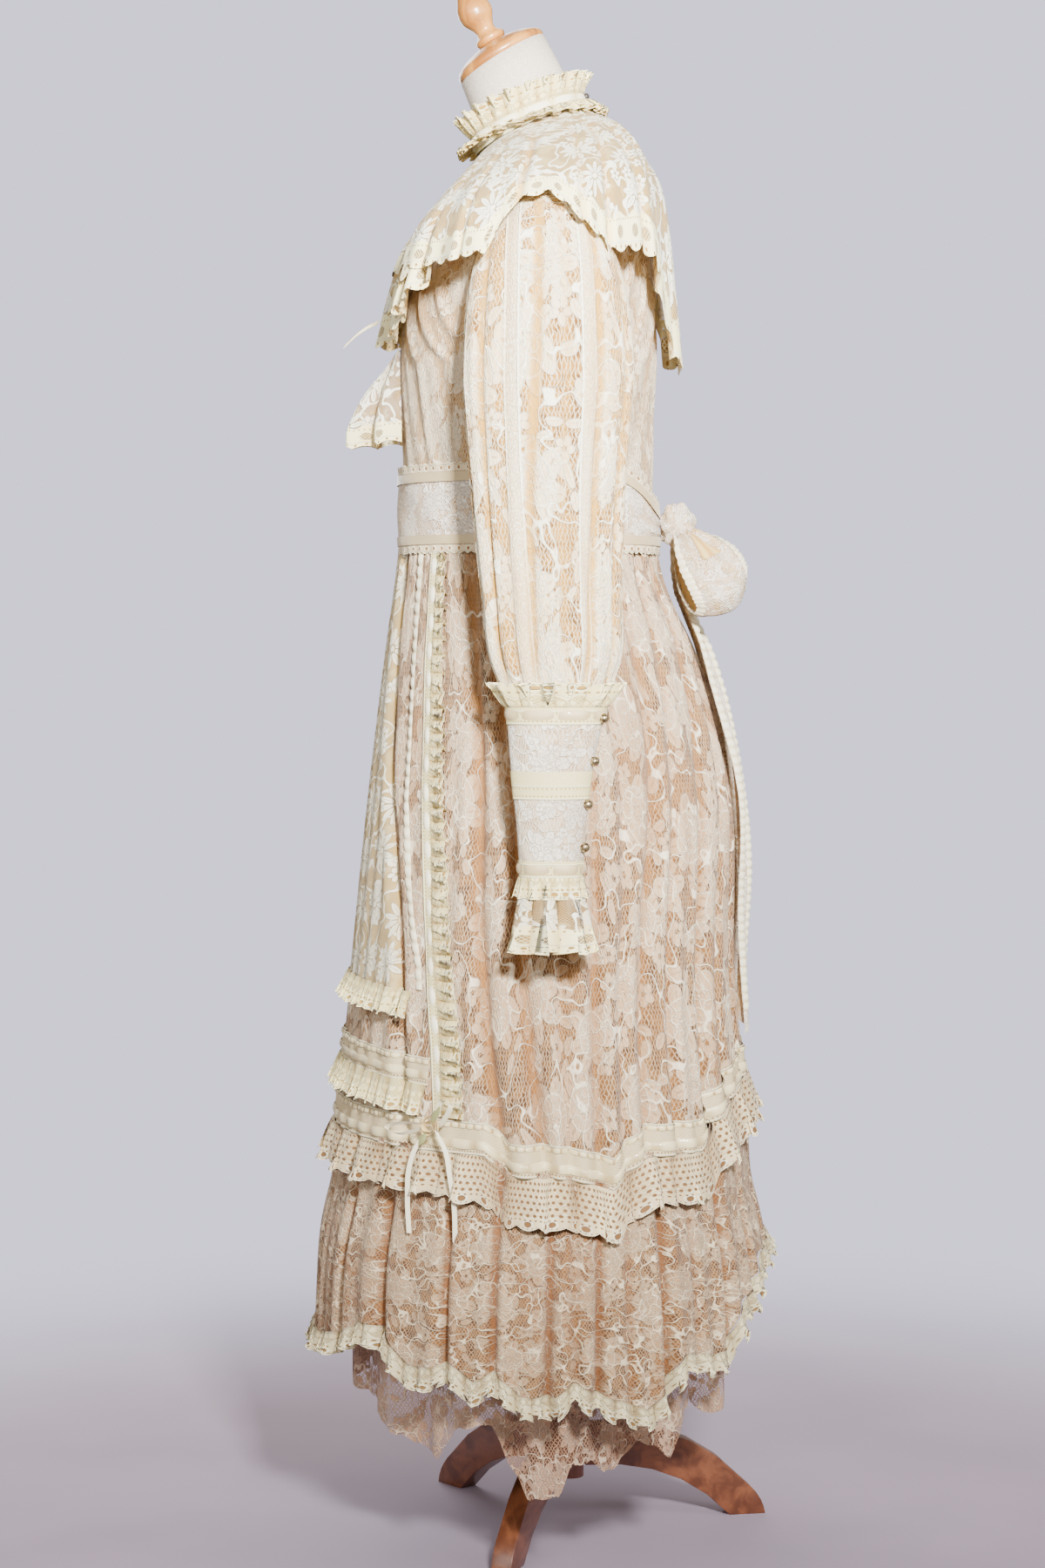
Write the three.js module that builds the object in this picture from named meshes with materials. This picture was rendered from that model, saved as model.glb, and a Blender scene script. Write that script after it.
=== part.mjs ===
// A long-sleeved lace dress with a cape collar, a sash and a flounced skirt, worn by a limbless
// dress form on a three-legged wooden stand. Millimetres, +Z up. The front is -Y and the
// wearer's left side is +X. The stand's post is the axis that every table is measured from.
import * as THREE from 'three';

// ---- driving dimensions ----
const laceWall = 1.4;          // thickness of the dress lace
const trimWall = 1.2;          // thickness of frills, bands and ribbons
const seamGap = 0.3;           // what touching pieces keep between them
const skirtColumns = 72;       // points round every ring of the skirt
const seamLow = 383;           // where the skirt ends and the flounce begins, at its lowest
const hemFrill = { drop: 21, flare: 3, wave: 4 };
const flounceShares = [0, 0.5, 0.8];  // heights of the flounce's rings, from its hem to its seam
const sleeveFolds = 8;
const skirtFolds = 18;
const flounceFolds = 24;
const frillWaves = 24;         // on the tier ruffle, and on the hem frill
const capeColumns = 48;
const capeWaves = 10;
const collarWaves = 12;
const cuffWaves = 6;
const post = { radius: 13.5, bottom: 44, top: 772.6 };
const leg = { thickness: 20, footFrom: 158, footTo: 194, bearings: [-20, 100, 220] };
const neckTop = { y: -65, z: 1411.5, lean: 30.7 };

// ---- short tables, one row for each ring or fold ----
const table = (columns, rows) =>
  rows.map((row) => Object.fromEntries(columns.map((name, i) => [name, row[i]])));

const ringColumns = ['zFront', 'zSide', 'zBack', 'yFront', 'yBack', 'halfWidth'];

// from the waist to the neck seam; the armholes lie between rings 2 and 5
const bodiceRings = table(ringColumns, [
  [985, 985, 985, -160, 79, 137],
  [1050, 1050, 1050, -161, 79, 144],
  [1120, 1120, 1120, -162, 81, 157],
  [1165, 1168, 1170, -158, 80, 166],
  [1200, 1218, 1220, -148, 78, 172],
  [1234, 1262, 1266, -134, 74, 174],
  [1272, 1300, 1316, -108, 58, 128],
  [1300, 1326, 1346, -90, 30, 82],
  [1320, 1344, 1364, -88, 12, 55],
]);
const armhole = { fromRing: 2, toRing: 5, openFront: 26, openBack: 34 };

const levelColumns = ['height', 'yFront', 'yBack', 'halfWidth', 'fold'];
const skirtRings = table(levelColumns, [
  [seamLow, -227, 171, 264, 5],
  [520, -212, 157, 238, 5.5],
  [750, -188, 146, 190, 3.5],
  [850, -176, 116, 168, 2.5],
  [930, -165, 84, 146, 1.2],
  [985, -159, 79, 137, 0.3],
]);
const flounceRings = table(levelColumns, [
  [190, -247, 197, 298, 8],
  [300, -240, 184, 282, 7],
  [350, -229.5, 173, 267, 3],
  [383, -227, 171, 264, 3],
  [450, -220, 165, 252, 3],
]);
// the seam and the hem of the flounce both rise towards the back of the dress
const seamRise = table(['bearing', 'rise'], [
  [0, 17], [70, 17], [84, 2], [100, -3], [112, 0], [124, 10], [136, 14], [150, 42], [180, 66],
]);
const flounceHem = table(['bearing', 'height'], [
  [0, 203], [30, 222], [44, 240], [56, 213], [70, 208], [84, 193], [97, 200], [112, 180],
  [124, 214], [138, 218], [150, 254], [165, 283], [180, 288],
]);
const underskirtHem = table(['bearing', 'height'], [
  [0, 150], [30, 142], [45, 125], [58, 117], [66, 150], [74, 155], [82, 100], [94, 93],
  [100, 120], [111, 111], [121, 130], [129, 114], [140, 156], [150, 139], [160, 165], [180, 158],
]);
const underskirtRings = table(levelColumns, [
  [104, -204, 152, 246, 9],
  [400, -202, 148, 234, 4],
  [560, -195, 143, 214, 2],
  [750, -178, 134, 178, 1],
  [850, -167, 106, 160, 0.6],
  [930, -158, 76, 138, 0.4],
  [975, -157.6, 77.5, 136.1, 0],
]);
const sashRings = table(levelColumns, [
  [947, -165.9, 85.3, 146.2, 0],
  [980, -166, 85, 145, 0],
  [1014, -165.5, 84, 145.5, 0],
]);

// the cape spreads from the neck seam, over the shoulders and down to its longest reach
const capeRings = table(['reach', ...ringColumns], [
  [0, 1316, 1343, 1362, -90.4, 16.5, 60],
  [0.25, 1296, 1326, 1344, -106, 50, 108],
  [0.5, 1264, 1300, 1312, -132, 72, 158],
  [0.7, 1224, 1262, 1276, -160, 86, 204],
  [1, 1110, 1150, 1104, -186, 101, 242],
]);
const capeSquareness = 0.86;   // below 1 the cape's rings are fuller at the corners
const capeWave = { from: 0.45, depth: 6, start: 20 };
const capeShares = [1, 0.88, 0.62, 0.31, 0];   // the cape's own rings, from its edge to the neck
const capeEdge = table(['bearing', 'reach'], [
  [0, 0.8], [30, 0.82], [60, 0.85], [76, 0.86], [86, 0.73], [95, 0.72], [106, 0.8],
  [120, 0.86], [138, 0.84], [155, 0.88], [168, 0.97], [180, 0.99],
]);
// further lace layers that show under the front of the cape
const cascades = table(['name', 'from', 'to', 'halfAngle', 'under', 'droop'], [
  ['cascade_middle', 0.74, 0.87, 45, 2.3, 0.02],
  ['cascade_lower', 0.78, 0.93, 37.5, 4.6, 0.04],
]);

// collar rings; each piece goes from its first ring up to its second
const collarRings = {
  bandBottom: { zFront: 1320.6, zSide: 1344.6, zBack: 1364.6, yFront: -89, yBack: 13, halfWidth: 56 },
  bandTop: { zFront: 1338, zSide: 1361, zBack: 1381, yFront: -94, yBack: 10, halfWidth: 53.5 },
  upperFrillTop: { zFront: 1356, zSide: 1388, zBack: 1403, yFront: -107, yBack: 15, halfWidth: 60 },
  lowerFrillEdge: { zFront: 1326, zSide: 1351, zBack: 1364, yFront: -107, yBack: 36, halfWidth: 74 },
};

const sleeveColumns = 24;
const sleeveRings = table(['height', 'x', 'y', 'halfX', 'halfY', 'fold'], [
  [812.5, 243, -16, 26.2, 47.2, 0],
  [834, 239, -17, 29, 56, 3],
  [900, 224, -20, 31, 62, 2.5],
  [995, 208, -23, 30, 69, 2],
  [1090, 197, -23, 28, 77, 1.5],
]);
const cuffRings = table(['height', 'x', 'y', 'halfX', 'halfY', 'fold'], [
  [644, 259, -21, 20, 27, 0],
  [731, 252, -20.5, 23, 34.5, 0],
  [812, 243, -16, 26, 47, 0],
]);
const cuffFrillRings = table(['height', 'x', 'y', 'halfX', 'halfY', 'fold'], [
  [799, 244.4, -16.4, 27.2, 46.9, 0],
  [826, 242, -16, 37, 61, 4],
]);
const handRuffleRings = table(['height', 'x', 'y', 'halfX', 'halfY', 'fold'], [
  [582, 270, -21, 29, 39, 5],
  [612, 264, -21, 22, 31, 2.5],
  [643.5, 259, -21, 19, 26, 0],
]);
const cuffButtons = { radius: 4.5, heights: [790, 752, 714, 676], bearing: 158 };

// the front panel of the skirt widens downwards between its two trimmed edges
const panelEdge = table(['height', 'bearing'], [
  [404, 63.5], [430, 63.5], [495, 61.5], [610, 55.5], [728, 51], [839, 49], [937, 49.5],
]);
const panelTrim = {
  bandWidth: 13, frillTop: 13, frillBottom: 26, frillRise: 4, frillWaves: 8, top: 938, bottom: 431,
};
const frontTiers = table(['name', 'top', 'bottom', 'out', 'waves'], [
  ['tier_frill_1', 542, 520, 8, 4],
  ['tier_frill_2', 460, 434, 8, 4],
]);
const tierBand2 = { top: 486, bottom: 461 };
const tierBand3 = { top: 29, bottom: 0.5 };     // above the seam
const tierRuffle = { front: 36, back: 45, out: 15, wave: 4 };
const panelInset = 4;            // degrees between the panel's edge and what lies across it

// the form below the waist, and its neck
const formRings = table(ringColumns, [
  [773, 773, 773, -118, 46, 118],
  [786, 786, 786, -140, 66, 142],
  [850, 850, 850, -149, 74, 150],
  [920, 920, 920, -143, 65, 131],
  [985, 985, 985, -142, 60, 120],
]);
const formInsets = [17, 13, 11, 9, 8.5, 3.4, 3.4, 5.5]; // inside bodice rings 1 to 8
const neckRings = table(ringColumns, [
  [1331, 1356, 1376, -85, 2, 45],
  [1356, 1380, 1402, -92, -8, 45],
  [1388, 1411.5, 1435, -104.6, -25.4, 46],
]);

// ---- materials ----
const cloth = (color, roughness = 0.85) =>
  new THREE.MeshStandardMaterial({ color, roughness, metalness: 0, side: THREE.DoubleSide });
const materials = {
  lace: cloth(0xeee0d2),
  daisyLace: cloth(0xf6f0dc),
  peachLace: cloth(0xe2c4a8),
  creamTrim: cloth(0xf4efca),
  satin: cloth(0xf2e4bd, 0.4),
  sash: cloth(0xe9d8bb),
  linen: cloth(0xcdc3bc),
  lightWood: new THREE.MeshStandardMaterial({ color: 0xd9a466, roughness: 0.45, metalness: 0 }),
  darkWood: new THREE.MeshStandardMaterial({ color: 0xa9683d, roughness: 0.5, metalness: 0 }),
  silver: new THREE.MeshStandardMaterial({ color: 0xb9b4a8, roughness: 0.3, metalness: 1 }),
};

// ---- small helpers ----
const radians = THREE.MathUtils.degToRad;
const mix = THREE.MathUtils.lerp;
const steps = (count) => Array.from({ length: count + 1 }, (_, i) => i / count);

// the row of a table at a value of one of its columns, between the rows on either side
function rowAt(rows, column, value) {
  let i = 0;
  while (i < rows.length - 2 && value > rows[i + 1][column]) i += 1;
  const [low, high] = [rows[i], rows[i + 1]];
  const t = (value - low[column]) / (high[column] - low[column]);
  const row = {};
  for (const name of Object.keys(low)) row[name] = mix(low[name], high[name], t);
  return row;
}

const fromFront = (bearing) => Math.abs(((bearing + 540) % 360) - 180);
const aroundFront = (rows, bearing) => rowAt(rows, 'bearing', fromFront(bearing));
const seamAt = (bearing) => seamLow + aroundFront(seamRise, bearing).rise;

const ringNumber = (rings, number) =>
  rowAt(rings.map((ring, i) => ({ ...ring, number: i })), 'number', number);

// bearing 0 is the centre front, 90 the wearer's left and 180 the centre back
function ringPoint(ring, bearing, squareness = 1) {
  const bent = (value) => Math.sign(value) * Math.abs(value) ** squareness;
  const across = Math.sin(radians(bearing));
  const along = -Math.cos(radians(bearing));
  const middle = (ring.yFront + ring.yBack) / 2;
  const halfDepth = (ring.yBack - ring.yFront) / 2;
  const tilt = ((ring.zBack - ring.zFront) / 2) * along;
  const dish = ((ring.zBack + ring.zFront) / 2 - ring.zSide) * along * along;
  return new THREE.Vector3(
    ring.halfWidth * bent(across),
    middle + halfDepth * bent(along),
    ring.zSide + tilt + dish,
  );
}

const outwards = (bearing) =>
  new THREE.Vector3(Math.sin(radians(bearing)), -Math.cos(radians(bearing)), 0);

const levelRing = (row) => ({ ...row, zFront: row.height, zSide: row.height, zBack: row.height });

// a level ring pushed in and out by uneven folds; the front panel hangs calmer than the rest
function foldedPoint(rows, height, bearing, folds, frontCalm = 1) {
  const row = rowAt(rows, 'height', height);
  const point = ringPoint(levelRing(row), bearing);
  const calm = mix(frontCalm, 1, THREE.MathUtils.smoothstep(fromFront(bearing), 50, 80));
  const drift = 0.8 * Math.sin(radians(3 * bearing)) + 0.5 * Math.sin(radians(2 * bearing + 40));
  const depth = row.fold * calm * Math.cos(radians(folds * bearing) + drift);
  return point.addScaledVector(outwards(bearing), depth);
}

// the outward normal at a point of a grid; rows go up and columns go round
function gridNormal(grid, j, i, closed) {
  const row = grid[j];
  const last = row.length - 1;
  const right = closed ? (i + 1) % row.length : Math.min(i + 1, last);
  const left = closed ? (i + last) % row.length : Math.max(i - 1, 0);
  const above = grid[Math.min(j + 1, grid.length - 1)][i];
  const below = grid[Math.max(j - 1, 0)][i];
  const round = row[right].clone().sub(row[left]);
  return round.cross(above.clone().sub(below)).normalize();
}

const movedOut = (grid, distance, closed) =>
  grid.map((row, j) => row.map((point, i) =>
    point.clone().addScaledVector(gridNormal(grid, j, i, closed), distance)));

function meshFrom(points, faces) {
  const geometry = new THREE.BufferGeometry();
  const positions = new Float32Array(points.flatMap((point) => point.toArray()));
  geometry.setAttribute('position', new THREE.BufferAttribute(positions, 3));
  geometry.setIndex(faces);
  geometry.computeVertexNormals();
  return geometry;
}

// a cloth wall: the grid is its outer side, and the inner side lies a wall's thickness inside it
function clothWall(grid, thickness, closed, inner = movedOut(grid, -thickness, closed)) {
  const columns = grid[0].length;
  const last = columns - 1;
  const innerStart = grid.length * columns;
  const outerAt = (j, i) => j * columns + (i % columns);
  const innerAt = (j, i) => innerStart + outerAt(j, i);
  const faces = [];
  const quad = (a, b, c, d) => faces.push(a, b, c, a, c, d);
  const spans = closed ? columns : last;
  for (let i = 0; i < spans; i += 1) {
    for (let j = 0; j < grid.length - 1; j += 1) {
      quad(outerAt(j, i), outerAt(j, i + 1), outerAt(j + 1, i + 1), outerAt(j + 1, i));
      quad(innerAt(j, i), innerAt(j + 1, i), innerAt(j + 1, i + 1), innerAt(j, i + 1));
    }
    const top = grid.length - 1;
    quad(innerAt(0, i), innerAt(0, i + 1), outerAt(0, i + 1), outerAt(0, i));
    quad(outerAt(top, i), outerAt(top, i + 1), innerAt(top, i + 1), innerAt(top, i));
  }
  for (let j = 0; j < grid.length - 1 && !closed; j += 1) {
    quad(outerAt(j, 0), outerAt(j + 1, 0), innerAt(j + 1, 0), innerAt(j, 0));
    quad(outerAt(j, last), innerAt(j, last), innerAt(j + 1, last), outerAt(j + 1, last));
  }
  return meshFrom([...grid.flat(), ...inner.flat()], faces);
}

// a filled body through closed rings, with a flat fan over its first and last ring
function solidLoft(grid) {
  const columns = grid[0].length;
  const middleOf = (row) =>
    row.reduce((sum, point) => sum.add(point), new THREE.Vector3()).divideScalar(columns);
  const top = grid.length - 1;
  const points = [...grid.flat(), middleOf(grid[0]), middleOf(grid[top])];
  const bottomMiddle = points.length - 2;
  const faces = [];
  for (let i = 0; i < columns; i += 1) {
    const next = (i + 1) % columns;
    for (let j = 0; j < top; j += 1) {
      const [a, b] = [j * columns + i, j * columns + next];
      faces.push(a, b, b + columns, a, b + columns, a + columns);
    }
    faces.push(bottomMiddle, next, i);
    faces.push(bottomMiddle + 1, top * columns + i, top * columns + next);
  }
  return meshFrom(points, faces);
}

function mirrored(geometry) {
  const copy = geometry.index ? geometry.toNonIndexed() : geometry.clone();
  const places = copy.getAttribute('position');
  const point = new THREE.Vector3();
  for (let first = 0; first < places.count; first += 3) {
    const corners = [0, 2, 1].map((i) => point.fromBufferAttribute(places, first + i).toArray());
    corners.forEach(([x, y, z], i) => places.setXYZ(first + i, -x, y, z));
  }
  copy.computeVertexNormals();
  return copy;
}

const object = new THREE.Group();

function addPiece(name, geometry, material) {
  const mesh = new THREE.Mesh(geometry, material);
  mesh.name = name;
  object.add(mesh);
  return mesh;
}

function addPair(name, geometry, material) {
  addPiece(`${name}_left`, geometry, material);
  addPiece(`${name}_right`, mirrored(geometry), material);
}

const roundBearings = (count) => steps(count).slice(0, -1).map((t) => 360 * t);

// ---- bodice ----
const bodicePoint = (number, bearing) => ringPoint(ringNumber(bodiceRings, number), bearing);

// a bodice point moved out of the cloth, found from its neighbours on the same surface
function bodiceOut(number, bearing, distance) {
  const lift = 0.05;
  const turn = 1;
  const low = Math.max(number - lift, 0);
  const high = Math.min(number + lift, bodiceRings.length - 1);
  const round = bodicePoint(number, bearing + turn).sub(bodicePoint(number, bearing - turn));
  const up = bodicePoint(high, bearing).sub(bodicePoint(low, bearing));
  return bodicePoint(number, bearing).addScaledVector(round.cross(up).normalize(), distance);
}

// how far the side edge of a bodice panel is cut back from the side seam by the armhole
function armholeCut(number, opening) {
  const t = (number - armhole.fromRing) / (armhole.toRing - armhole.fromRing);
  return t > 0 && t < 1 ? opening * Math.sqrt(1 - (2 * t - 1) ** 2) : 0;
}

function bodicePanel(middleBearing, opening) {
  const across = 10;
  const ringNumbers = [0, 1, 2, 2.25, 2.8, 3.5, 4.2, 4.75, 5, 6, 7, 8];
  const side = (out) => ringNumbers.map((number) => {
    const halfRing = bodicePoint(number, 90).x;
    const seamAngle = THREE.MathUtils.radToDeg(seamGap / halfRing);
    const reach = 90 - armholeCut(number, opening) - seamAngle;
    return steps(across).map((t) => bodiceOut(number, middleBearing + mix(-reach, reach, t), out));
  });
  return clothWall(side(0), laceWall, false, side(-laceWall));
}

function makeBodice() {
  addPiece('bodice_front', bodicePanel(0, armhole.openFront), materials.lace);
  addPiece('bodice_back', bodicePanel(180, armhole.openBack), materials.lace);
}

// ---- sleeves and cuffs ----
// the head of the sleeve follows the armhole: bearing 90 is its top and 270 its underarm
function armholePoint(bearing) {
  const height = (Math.sin(radians(bearing)) + 1) / 2;
  const towards = Math.cos(radians(bearing));
  const opening = towards > 0 ? armhole.openFront : armhole.openBack;
  const number = mix(armhole.fromRing, armhole.toRing, height);
  return bodiceOut(number, 90 - opening * towards, laceWall);
}

function tubePoint(row, bearing, folds) {
  const swell = row.fold * Math.cos(radians(folds * bearing));
  return new THREE.Vector3(
    row.x + (row.halfX + swell * 0.5) * Math.sin(radians(bearing)),
    row.y - (row.halfY + swell) * Math.cos(radians(bearing)),
    row.height,
  );
}

// the sleeve rounds over the shoulder from the armhole before it hangs
function shoulderRow(t) {
  const top = sleeveRings[sleeveRings.length - 1];
  return roundBearings(sleeveColumns).map((bearing) => {
    const head = armholePoint(bearing);
    const below = tubePoint(top, bearing, sleeveFolds);
    const turn = new THREE.Vector3(mix(head.x, below.x, 0.82), mix(head.y, below.y, 0.9), head.z);
    return new THREE.QuadraticBezierCurve3(below, turn, head).getPoint(t);
  });
}

const tubeGrid = (rows, columns, folds) =>
  rows.map((row) => roundBearings(columns).map((bearing) => tubePoint(row, bearing, folds)));

function makeSleeves() {
  const grid = tubeGrid(sleeveRings, sleeveColumns, sleeveFolds);
  for (const t of [0.22, 0.45, 0.7, 1]) grid.push(shoulderRow(t));
  addPair('sleeve', clothWall(grid, laceWall, true), materials.lace);
  addPair('cuff', clothWall(tubeGrid(cuffRings, 20, 0), laceWall, true), materials.lace);
  const frill = clothWall(tubeGrid(cuffFrillRings, cuffWaves * 4, cuffWaves), trimWall, true);
  addPair('cuff_frill', frill, materials.creamTrim);
  const ruffle = clothWall(tubeGrid(handRuffleRings, cuffWaves * 4, cuffWaves), trimWall, true);
  addPair('hand_ruffle', ruffle, materials.daisyLace);
  cuffButtons.heights.forEach((height, i) => {
    const seat = tubePoint(rowAt(cuffRings, 'height', height), cuffButtons.bearing, 0);
    const ball = new THREE.SphereGeometry(cuffButtons.radius, 6, 5);
    seat.addScaledVector(outwards(cuffButtons.bearing), cuffButtons.radius + seamGap);
    ball.translate(...seat.toArray());
    addPair(`cuff_button_${i + 1}`, ball, materials.silver);
  });
}

// ---- collar and cape ----
function collarPiece(name, bottom, top, waveAt, material) {
  const bearings = roundBearings(waveAt ? collarWaves * 3 : 24);
  const grid = [bottom, top].map((ring) => bearings.map((bearing) => {
    const point = ringPoint(ring, bearing);
    const wave = ring === waveAt ? 3 * Math.cos(radians(collarWaves * bearing)) : 0;
    return point.addScaledVector(outwards(bearing), wave);
  }));
  addPiece(name, clothWall(grid, trimWall, true), material);
}

function lifted(ring, rise, spread) {
  const moved = { ...ring, halfWidth: ring.halfWidth + spread };
  for (const name of ['zFront', 'zSide', 'zBack']) moved[name] += rise;
  moved.yFront -= spread;
  moved.yBack += spread;
  return moved;
}

function makeCollar() {
  const { bandBottom, bandTop, upperFrillTop, lowerFrillEdge } = collarRings;
  collarPiece('collar_band', bandBottom, bandTop, null, materials.creamTrim);
  const upperSeat = lifted(bandTop, seamGap, 0);
  collarPiece('collar_frill_upper', upperSeat, upperFrillTop, upperFrillTop, materials.creamTrim);
  const lowerSeat = lifted(bandBottom, 3, trimWall + 0.5);
  collarPiece('collar_frill_lower', lowerFrillEdge, lowerSeat, lowerFrillEdge, materials.creamTrim);
  const button = new THREE.SphereGeometry(3.5, 6, 5);
  const back = ringPoint(lifted(bandTop, -4, 0), 180);
  button.translate(back.x, back.y + 4.4, back.z);
  addPiece('collar_button', button, materials.silver);
}

function capePoint(bearing, reach, under = 0) {
  const point = ringPoint(rowAt(capeRings, 'reach', reach), bearing, capeSquareness);
  const loose = Math.max(reach - capeWave.from, 0) / (1 - capeWave.from);
  const phase = radians(capeWaves * fromFront(bearing) + capeWave.start);
  const wave = capeWave.depth * loose * Math.cos(phase);
  return point.addScaledVector(outwards(bearing), wave - under);
}

function makeCape() {
  const bearings = roundBearings(capeColumns);
  const grid = capeShares.map((share) =>
    bearings.map((bearing) => capePoint(bearing, share * aroundFront(capeEdge, bearing).reach)));
  addPiece('cape', clothWall(grid, laceWall, true), materials.daisyLace);
  for (const layer of cascades) {
    const spans = (2 * layer.halfAngle * capeColumns) / 360;
    const across = steps(spans).map((t) => mix(-layer.halfAngle, layer.halfAngle, t));
    const layerGrid = [1, 0.5, 0].map((share) => across.map((bearing) => {
      const scallop = layer.droop * Math.cos(radians(bearing * 12));
      return capePoint(bearing, mix(layer.from, layer.to + scallop, share), layer.under);
    }));
    addPiece(layer.name, clothWall(layerGrid, trimWall, false), materials.creamTrim);
  }
}

// a soft fall of lace hangs free below the cape, folded forward in the middle
function makeJabot() {
  const rows = table(['height', 'forward', 'halfWidth'], [
    [1046, 50, 42], [1078, 42, 38], [1100, 20, 30], [1116, 0, 24],
  ]);
  const grid = rows.map((row) => steps(12).map((t) => {
    const side = 2 * t - 1;
    const fold = 0.5 + 0.5 * Math.cos(side * Math.PI * 2.5);
    const forward = row.forward * (0.25 + 0.75 * fold) * (1 - side * side * 0.6);
    const x = side * row.halfWidth;
    const bearing = THREE.MathUtils.radToDeg(Math.asin(x / bodiceRings[armhole.fromRing].halfWidth));
    const seat = bodicePoint(armhole.fromRing, bearing).y - trimWall - 0.5 * seamGap;
    return new THREE.Vector3(x, seat - forward, row.height + 12 * side * side);
  }));
  addPiece('jabot', clothWall(grid, trimWall, false), materials.daisyLace);
}

// ---- skirt ----
const skirtBearings = roundBearings(skirtColumns);
const skirtPanelCalm = 0.2;
const skirtGrid = skirtRings.map((row, j) => skirtBearings.map((bearing) => {
  const height = j === 0 ? seamAt(bearing) : row.height;
  return foldedPoint(skirtRings, height, bearing, skirtFolds, skirtPanelCalm);
}));

// a point that lies on the skirt's own facets, moved out of them
function onSkirt(height, bearing, out) {
  const column = ((bearing + 360) % 360) / 360 * skirtColumns;
  const i = Math.floor(column);
  const columnAt = (index) => {
    const at = index % skirtColumns;
    let j = 0;
    while (j < skirtGrid.length - 2 && height > skirtGrid[j + 1][at].z) j += 1;
    const [low, high] = [skirtGrid[j][at].z, skirtGrid[j + 1][at].z];
    const t = (height - low) / (high - low);
    const point = skirtGrid[j][at].clone().lerp(skirtGrid[j + 1][at], t);
    const normal = gridNormal(skirtGrid, j, at, true).lerp(gridNormal(skirtGrid, j + 1, at, true), t);
    return point.addScaledVector(normal.normalize(), out);
  };
  return columnAt(i).lerp(columnAt(i + 1), column - i);
}

const trimClear = trimWall + 1;  // how far out the outer side of a trim lies from the skirt

function makeSkirt() {
  addPiece('skirt', clothWall(skirtGrid, laceWall, true), materials.lace);
  const seamRow = skirtGrid[0].map((point) => point.clone().setZ(point.z - 2 * seamGap));
  const flounceGrid = flounceShares.map((share) => skirtBearings.map((bearing) => {
    const height = mix(aroundFront(flounceHem, bearing).height, seamAt(bearing), share);
    return foldedPoint(flounceRings, height, bearing, flounceFolds);
  }));
  addPiece('flounce', clothWall([...flounceGrid, seamRow], laceWall, true), materials.peachLace);
  const hemTop = flounceGrid[0].map((point) => point.clone().setZ(point.z - seamGap));
  const hemEdge = hemTop.map((point, i) => {
    const bearing = skirtBearings[i];
    const wave = hemFrill.flare + hemFrill.wave * Math.cos(radians(frillWaves * bearing));
    return point.clone().addScaledVector(outwards(bearing), wave).setZ(point.z - hemFrill.drop);
  });
  addPiece('hem_frill', clothWall([hemEdge, hemTop], trimWall, true), materials.creamTrim);
}

function makeUnderskirt() {
  const folds = 12;
  const grid = underskirtRings.map((row, j) => roundBearings(48).map((bearing) => {
    const height = j === 0 ? aroundFront(underskirtHem, bearing).height : row.height;
    return foldedPoint(underskirtRings, height, bearing, folds);
  }));
  addPiece('underskirt', clothWall(grid, laceWall, true), materials.peachLace);
}

// heightAt takes a bearing and gives a height, for the band's lower and then its upper edge
function skirtBand(name, edges, material, halfAngle) {
  const bearings = halfAngle
    ? skirtBearings.map((bearing) => ((bearing + 540) % 360) - 180)
      .filter((bearing) => Math.abs(bearing) < halfAngle).sort((a, b) => a - b)
    : skirtBearings;
  const grid = edges.map((heightAt) =>
    bearings.map((bearing) => onSkirt(heightAt(bearing), bearing, trimClear)));
  addPiece(name, clothWall(grid, trimWall, !halfAngle), material);
}

function makeTiers() {
  for (const tier of frontTiers) {
    const half = rowAt(panelEdge, 'height', tier.bottom).bearing - panelInset - 1;
    const across = steps(tier.waves * 4);
    const grid = [1, 0].map((share) => across.map((t) => {
      const out = trimClear + 0.6 + share * (tier.out + 2.5 * Math.cos(2 * Math.PI * tier.waves * t));
      return onSkirt(mix(tier.top, tier.bottom, share), mix(-half, half, t), out);
    }));
    addPiece(tier.name, clothWall(grid, trimWall, false), materials.creamTrim);
  }
  const bandHalf = rowAt(panelEdge, 'height', tierBand2.bottom).bearing - panelInset;
  const edges = [() => tierBand2.bottom, () => tierBand2.top];
  skirtBand('tier_band_2', edges, materials.creamTrim, bandHalf);
}

function makeTierRuffle() {
  const edges = [tierBand3.bottom, tierBand3.top].map((above) => (bearing) => seamAt(bearing) + above);
  skirtBand('tier_band_3', edges, materials.creamTrim);
  const ruffleTop = skirtBearings.map((bearing) => {
    const seat = onSkirt(seamAt(bearing), bearing, trimClear);
    return seat.setZ(seamAt(bearing) + tierBand3.bottom - seamGap);
  });
  const ruffleEdge = ruffleTop.map((point, i) => {
    const bearing = skirtBearings[i];
    const wave = tierRuffle.out + tierRuffle.wave * Math.cos(radians(frillWaves * bearing));
    const share = THREE.MathUtils.smoothstep(fromFront(bearing), 50, 80);
    const drop = mix(tierRuffle.front, tierRuffle.back, share);
    return point.clone().addScaledVector(outwards(bearing), wave).setZ(point.z - drop);
  });
  addPiece('tier_ruffle_3', clothWall([ruffleEdge, ruffleTop], trimWall, true), materials.creamTrim);
}

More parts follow.
